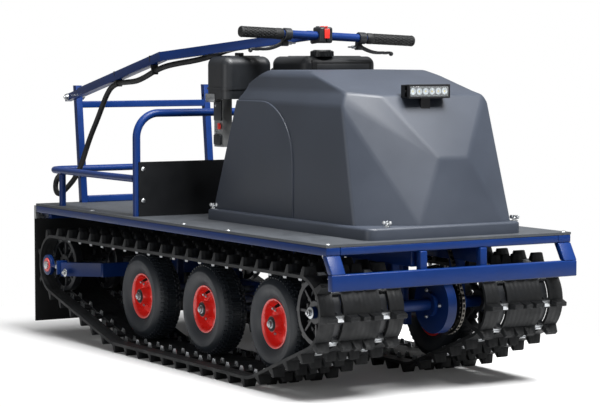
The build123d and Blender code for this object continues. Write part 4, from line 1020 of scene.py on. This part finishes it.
# Engine top: seams, cover, trim, brackets and control parts
engineSizes = dict(tankSeam=(42, 46), tankLip=4.0, tankCorner=31.0, ribs=(50, 95, 140), ribWidth=14.0,
                   capTeeth=20, cleanerSeam=(26, 31), cleanerLip=2.5, cleanerCorner=28.0, plateBolts=4.2)


def addSeam(shape, low, high, seam, lip, corner):  # flange round a moulded box, between two heights
    bottom, top = low.z + seam[0], low.z + seam[1]
    verts = slab(shape, (low.x - lip, low.y - lip, bottom), (high.x + lip, high.y + lip, top))
    bevelEdges(shape, [e for e in edgesOf(verts) if abs(e.verts[0].co.z - e.verts[1].co.z) > 1], corner, 8)


def addEngineTop(s):
    low, high = nodeBox("fuel_tank")
    tank = bmesh.new()
    addSeam(tank, low, high, s["tankSeam"], s["tankLip"], s["tankCorner"])
    for along in s["ribs"]:
        x = low.x + along
        slab(tank, (x, low.y + 30, high.z - 1.5), (x + s["ribWidth"], high.y - 30, high.z + 1.6), 1.4, 2)
    addPiece("tankSeam", tank, "black_plastic")
    trim = bmesh.new()
    slab(trim, (high.x - 3, low.y + 20, low.z + 50), (high.x + 2.5, high.y - 20, high.z - 14), 2, 3)
    addPiece("tankTrim", trim, "black_paint")
    plain = bmesh.new()
    slab(plain, (high.x + 1, low.y + 34, low.z + 56), (high.x + 4, high.y - 30, high.z - 20), 1.2, 2)
    addPiece("tankPlate", plain, "black_plastic")
    cap = bmesh.new()
    low, high = nodeBox("tank_cap")
    radius = (high.x - low.x) / 2
    height = high.z - low.z
    spot = lined(((low.x + high.x) / 2, (low.y + high.y) / 2, low.z))
    lathe(cap, spot, [(0, height), (radius - 9, height), (radius - 7, height - 2), (radius - 4, height - 2),
                      (radius - 2, height - 4), (radius - 2, 0), (0, 0)], 40)
    for around in turnsOf(spot, s["capTeeth"]):
        slab(cap, (radius - 4, -1.6, 1), (radius, 1.6, height - 4), 0.6, 1, around)
    addPiece("tankCap", cap, "black_plastic", replaced=("tank_cap",))
    low, high = nodeBox("air_cleaner")
    cover = bmesh.new()
    addSeam(cover, low, high, s["cleanerSeam"], s["cleanerLip"], s["cleanerCorner"])
    slab(cover, (low.x + 24, low.y + 30, high.z - 1), (high.x - 24, high.y - 30, high.z + 2.2), 2, 3)
    peg(cover, lined(((low.x + high.x) / 2, (low.y + high.y) / 2, high.z + 1)), 13, 0, 9, 7, 2)
    addPiece("cleanerCover", cover, "black_plastic")
    metal = bmesh.new()
    slab(metal, (low.x + 8, low.y - 3, low.z - 9), (low.x + 58, low.y + 1, low.z + 14), 1.5, 2)
    slab(metal, (low.x + 8, low.y - 3, low.z - 9), (low.x + 58, low.y + 40, low.z - 5.5), 1.2, 2)
    low, high = nodeBox("control_plate")
    for z in (low.z + 14, low.z + 40, high.z - 18):
        hexBolt(metal, ((low.x + high.x) / 2 - 10, low.y, z), (0, -1, 0), s["plateBolts"], 1.7)
    addPiece("controlBracket", metal, "zinc")
    lever = bmesh.new()
    slab(lever, (high.x - 18, low.y - 9, low.z + 48), (high.x - 8, low.y - 2, low.z + 66), 2, 2)
    addPiece("chokeLever", lever, "black_plastic", finish=switchRed)
    boxes = bmesh.new()
    slab(boxes, (low.x + 4, low.y - 5, low.z + 72), (high.x - 4, low.y + 2, high.z - 6), 2.5, 2)
    slab(boxes, (low.x + 8, low.y - 8, low.z + 6), (high.x - 6, low.y + 2, low.z + 34), 3, 2)
    addPiece("controlCovers", boxes, "black_plastic")


addEngineTop(engineSizes)
print("engine top done")

# Chain, its toothed wheel and the drum's bolts
chainSizes = dict(pitch=12.7, plate=1.6, plateY=3.6, roller=4.0, stand=4.5, teeth=36,
                  gear=((15.4, -8), (27, -8), (28, -7), (28, -2.6), (66, -2.6), (66, 2.6), (28, 2.6), (28, 7),
                        (27, 8), (15.4, 8), (15.4, -8)),
                  drumBolts=3, drumCircle=38.0, drumFace=13.8)


def addChain(s):
    low, high = nodeBox("chain_wheel")
    middleY = (low.y + high.y) / 2
    rounds = [nodeRound(node) for node in ("chain_wheel", "jackshaft")]
    runs = beltLine([(x, z, r + s["stand"]) for x, z, r in rounds])
    bigX, bigZ = rounds[0][:2]
    count = 2 * round(beltLength(runs) / s["pitch"] / 2)
    link = bmesh.new()
    half = s["pitch"] / 2
    for y in (-s["plateY"], s["plateY"]):
        slab(link, (-half - 3, y - s["plate"] / 2, -3.6), (half + 3, y + s["plate"] / 2, 3.6))
    peg(link, lined((0, 0, 0), (0, 1, 0)), s["roller"], -3.2, 3.2, 8)
    addPiece("driveChain", layOnBelt(link, runs, count, middleY, 1), "steel", replaced=("drive_chain",))
    gear = bmesh.new()
    place = lined((bigX, middleY, bigZ), (0, 1, 0))
    lathe(gear, place, s["gear"], 60)
    for around in turnsOf(place, s["teeth"]):
        tooth = slab(gear, (64, -5, -2.4), (73.5, 5, 2.4), 0, 1, around)
        tips = [v for v in tooth if (around.inverted() @ v.co).x > 70]
        bmesh.ops.scale(gear, vec=(1, 0.35, 0.8), verts=tips, space=around.inverted())
    addPiece("chainWheel", gear, "steel", replaced=("chain_wheel",))
    face = nodeBox("drive_drum")[0].y + s["drumFace"]
    bolts = bmesh.new()
    for i in range(s["drumBolts"]):
        around = Matrix.Rotation(2 * pi * i / s["drumBolts"], 4, "Y")
        spot = Vector((bigX, face, bigZ)) + around @ Vector((s["drumCircle"], 0, 0))
        hexBolt(bolts, spot, (0, -1, 0), 5.5, 1.9)
    addPiece("drumBolts", bolts, "zinc")


addChain(chainSizes)
print("chain done")

# Bolts, wing nuts, washers and ties
bolts = dict(
    deckX=(-454, 104, 345, 827), deckY=354, deckHead=((0, 3.4), (3, 3.1), (6, 1.9), (8, 0), (0, 0)),
    panelY=326, panelZ=(437, 525), panelHead=((0, 3.4), (3, 3.1), (5, 2.0), (6.5, 0), (0, 0)),
    wing=((10, -211), (781, -155), (781, 233), (10, 234)), flapY=(-330, -180, -80, 80, 180, 330), flapZ=366,
    sealY=381, seal=((12.4, 0), (12.4, 1.6), (20, 1.6), (20.6, 0), (12.4, 0)),
    rodY=375.5, rodNuts=(62, 76), armY=381.7, armBolt=(128, -12),
    ties=((-497, 780, 31), (-272, 826, 40)), armLean=0.203)


def wingNut(shape, point):
    place = lined(point)
    peg(shape, place, 9, 0, 2, 20, 0.4)
    peg(shape, place, 5.5, 1.8, 9, 14, 0.8, 4.6)
    peg(shape, place, 3, 8, 15, 10, 0.4)
    for side in (-1, 1):
        ear = place @ Matrix.Rotation(radians(25), 4, "Z") @ Matrix.Translation((side * 8.5, 0, 10))
        ear = ear @ Matrix.Rotation(radians(side * 28), 4, "Y") @ Matrix.Rotation(radians(90), 4, "X")
        peg(shape, ear, 5.2, -1.3, 1.3, 14, 0.5)


def addFasteners(s):
    shape = bmesh.new()
    top = nodeBox("deck_board")[1].z
    for side in (-1, 1):
        for x in s["deckX"]:
            lathe(shape, lined((x, side * s["deckY"], top)), s["deckHead"], 20)
    face = nodeBox("panel")[1].x
    for side in (-1, 1):
        for z in s["panelZ"]:
            lathe(shape, lined((face, side * s["panelY"], z), (1, 0, 0)), s["panelHead"], 24)
    for x, y in s["wing"]:
        wingNut(shape, (x, y, hoodSizes["ledge"]))
    back = nodeBox("mud_flap")[0].x
    for y in s["flapY"]:
        hexBolt(shape, (back, y, s["flapZ"]), (-1, 0, 0), 5, 2.2)
    tip = nodeBox("idler_axle")[1].y
    axleX, axleZ = nodeRound("idler_axle")[:2]
    seals = bmesh.new()
    for side in (-1, 1):
        peg(shape, lined((axleX, side * (tip - 7), axleZ), (0, side, 0)), 11.6, 0, 7.6, 24, 1)
        lathe(seals, lined((axleX, side * s["sealY"], axleZ), (0, side, 0)), s["seal"], 32)
        for along in s["rodNuts"]:
            peg(shape, lined((axleX + along, side * s["rodY"], axleZ), (1, 0, 0)), 9.2, 0, 6.5, 6, 0.8)
        along, up = s["armBolt"]
        hexBolt(shape, (axleX + along, side * s["armY"], axleZ + up), (0, side, 0), 6, 2.0)
    addPiece("idlerSeals", seals, "red_paint")
    tip = nodeBox("drive_axle")[1].y
    driveX, driveZ = nodeRound("drive_axle")[:2]
    for side in (-1, 1):
        hexBolt(shape, (driveX, side * tip, driveZ), (0, side, 0), 8, 1.9)
    addPiece("zincFasteners", shape, "zinc", smooth=45)
    moving = bmesh.new()
    pivotX, pivotZ = nodeRound("pivot_bolt")[:2]
    hexBolt(moving, (pivotX, nodeBox("pivot_bolt")[0].y + 6.5, pivotZ), (0, -1, 0), 7, 1.6)
    addPiece("pivotHead", moving, "zinc", "tiller")
    ties = bmesh.new()
    for x, z, foot in s["ties"]:
        band = slab(ties, (-2.5, -14, -foot), (2.5, 14, 14), 1.2, 2)
        low = [v for v in band if v.co.z < -18]
        bmesh.ops.scale(ties, vec=(1, 0.68, 1), verts=low)
        lean = Matrix.Translation((x, hose["armY"] * 1000, z)) @ Matrix.Rotation(-s["armLean"], 4, "Y")
        bmesh.ops.transform(ties, matrix=lean, verts=band)
    addPiece("hoseTies", ties, "rubber", "tiller")


addFasteners(bolts)
print("fasteners done")


# Studio: pale floor, white surroundings and soft lamps
studio = dict(floor=40.0, floorColour="#DADADA", bounceColour="#707070", sky=0.12, gloss=0.4,
              shadow=0.75, least=0.03, footprint=(0.75, 0.34, 0.0))
lamps = (("keyLamp", (2.7, 0.5, 4.7), (0.2, 0, 0.45), 2.6, 720),
         ("topLamp", (0.5, -0.4, 4.6), (0, 0, 0.4), 3.0, 170),
         ("sideLamp", (1.2, -4.6, 0.9), (0, 0, 0.2), 2.0, 45))


def addStudio(s):
    shape = bmesh.new()
    bmesh.ops.create_grid(shape, x_segments=1, y_segments=1, size=s["floor"])
    mesh = meshOf("studioFloor", shape)
    material = bpy.data.materials.new("matPaperFloor")
    material.use_nodes = True
    tree = material.node_tree
    paper = tree.nodes["Principled BSDF"]
    paper.inputs["Roughness"].default_value = 0.9
    rays = addNode(tree, "LightPath", {})
    tones = {0: rays.outputs["Is Diffuse Ray"], 6: srgb(s["floorColour"]), 7: srgb(s["bounceColour"])}
    tone = addNode(tree, "Mix", tones, data_type="RGBA")  # the floor throws less light up than it shows
    tree.links.new(tone.outputs[2], paper.inputs["Base Color"])
    seen = {0: rays.outputs["Is Camera Ray"], 1: rays.outputs["Is Transmission Ray"]}
    clear = addNode(tree, "Math", seen, operation="MAXIMUM")
    spot = addNode(tree, "TexCoord", {})
    apart = addNode(tree, "VectorMath", {0: spot.outputs["Object"]}, operation="ABSOLUTE")
    beyond = addNode(tree, "VectorMath", {0: apart.outputs["Vector"], 1: s["footprint"]},
                     operation="SUBTRACT")
    outside = addNode(tree, "VectorMath", {0: beyond.outputs["Vector"], 1: (0, 0, 0)}, operation="MAXIMUM")
    away = addNode(tree, "VectorMath", {0: outside.outputs["Vector"]}, operation="LENGTH")
    reach = {"Value": away.outputs["Value"], "From Max": s["shadow"], "To Min": s["least"], "To Max": 1.0}
    fade = addNode(tree, "MapRange", reach, interpolation_type="SMOOTHSTEP")  # shadow only near the tracks
    share = addNode(tree, "Math", {0: clear.outputs[0], 1: fade.outputs["Result"]}, operation="MULTIPLY")
    white = addNode(tree, "Emission", {"Color": (1, 1, 1, 1), "Strength": 1.0})
    mixed = addNode(tree, "MixShader", {0: share.outputs[0], 1: paper.outputs[0], 2: white.outputs[0]})
    tree.links.new(mixed.outputs[0], tree.nodes["Material Output"].inputs["Surface"])
    mesh.materials.append(material)
    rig.stage(addObject("studioFloor", mesh))
    world = bpy.data.worlds.new("studioWorld")
    scene.world = world
    world.use_nodes = True
    tree = world.node_tree
    rays = addNode(tree, "LightPath", {})
    seen = {0: rays.outputs["Is Camera Ray"], 1: rays.outputs["Is Transmission Ray"]}
    clear = addNode(tree, "Math", seen, operation="MAXIMUM")
    base = addNode(tree, "MapRange", {"Value": clear.outputs[0], "To Min": s["sky"], "To Max": 1.0})
    shares = {0: rays.outputs["Is Glossy Ray"], 1: s["gloss"] - s["sky"], 2: base.outputs["Result"]}
    strength = addNode(tree, "Math", shares, operation="MULTIPLY_ADD")
    back = tree.nodes["Background"]
    back.inputs["Color"].default_value = (1, 1, 1, 1)
    tree.links.new(strength.outputs[0], back.inputs["Strength"])
    for name, spot, target, size, power in lamps:
        data = bpy.data.lights.new(name, "AREA")
        data.size = size
        data.energy = power
        addObject(name, data).matrix_world = lined(spot, Vector(spot) - Vector(target))


addStudio(studio)
scene.view_settings.view_transform = "Standard"

sizes = {"cad": [list(corner) for corner in cadBounds], "visual": [list(corner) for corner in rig.bounds()]}
with open("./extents.json", "w") as out:
    json.dump(sizes, out)
print("sizes written")
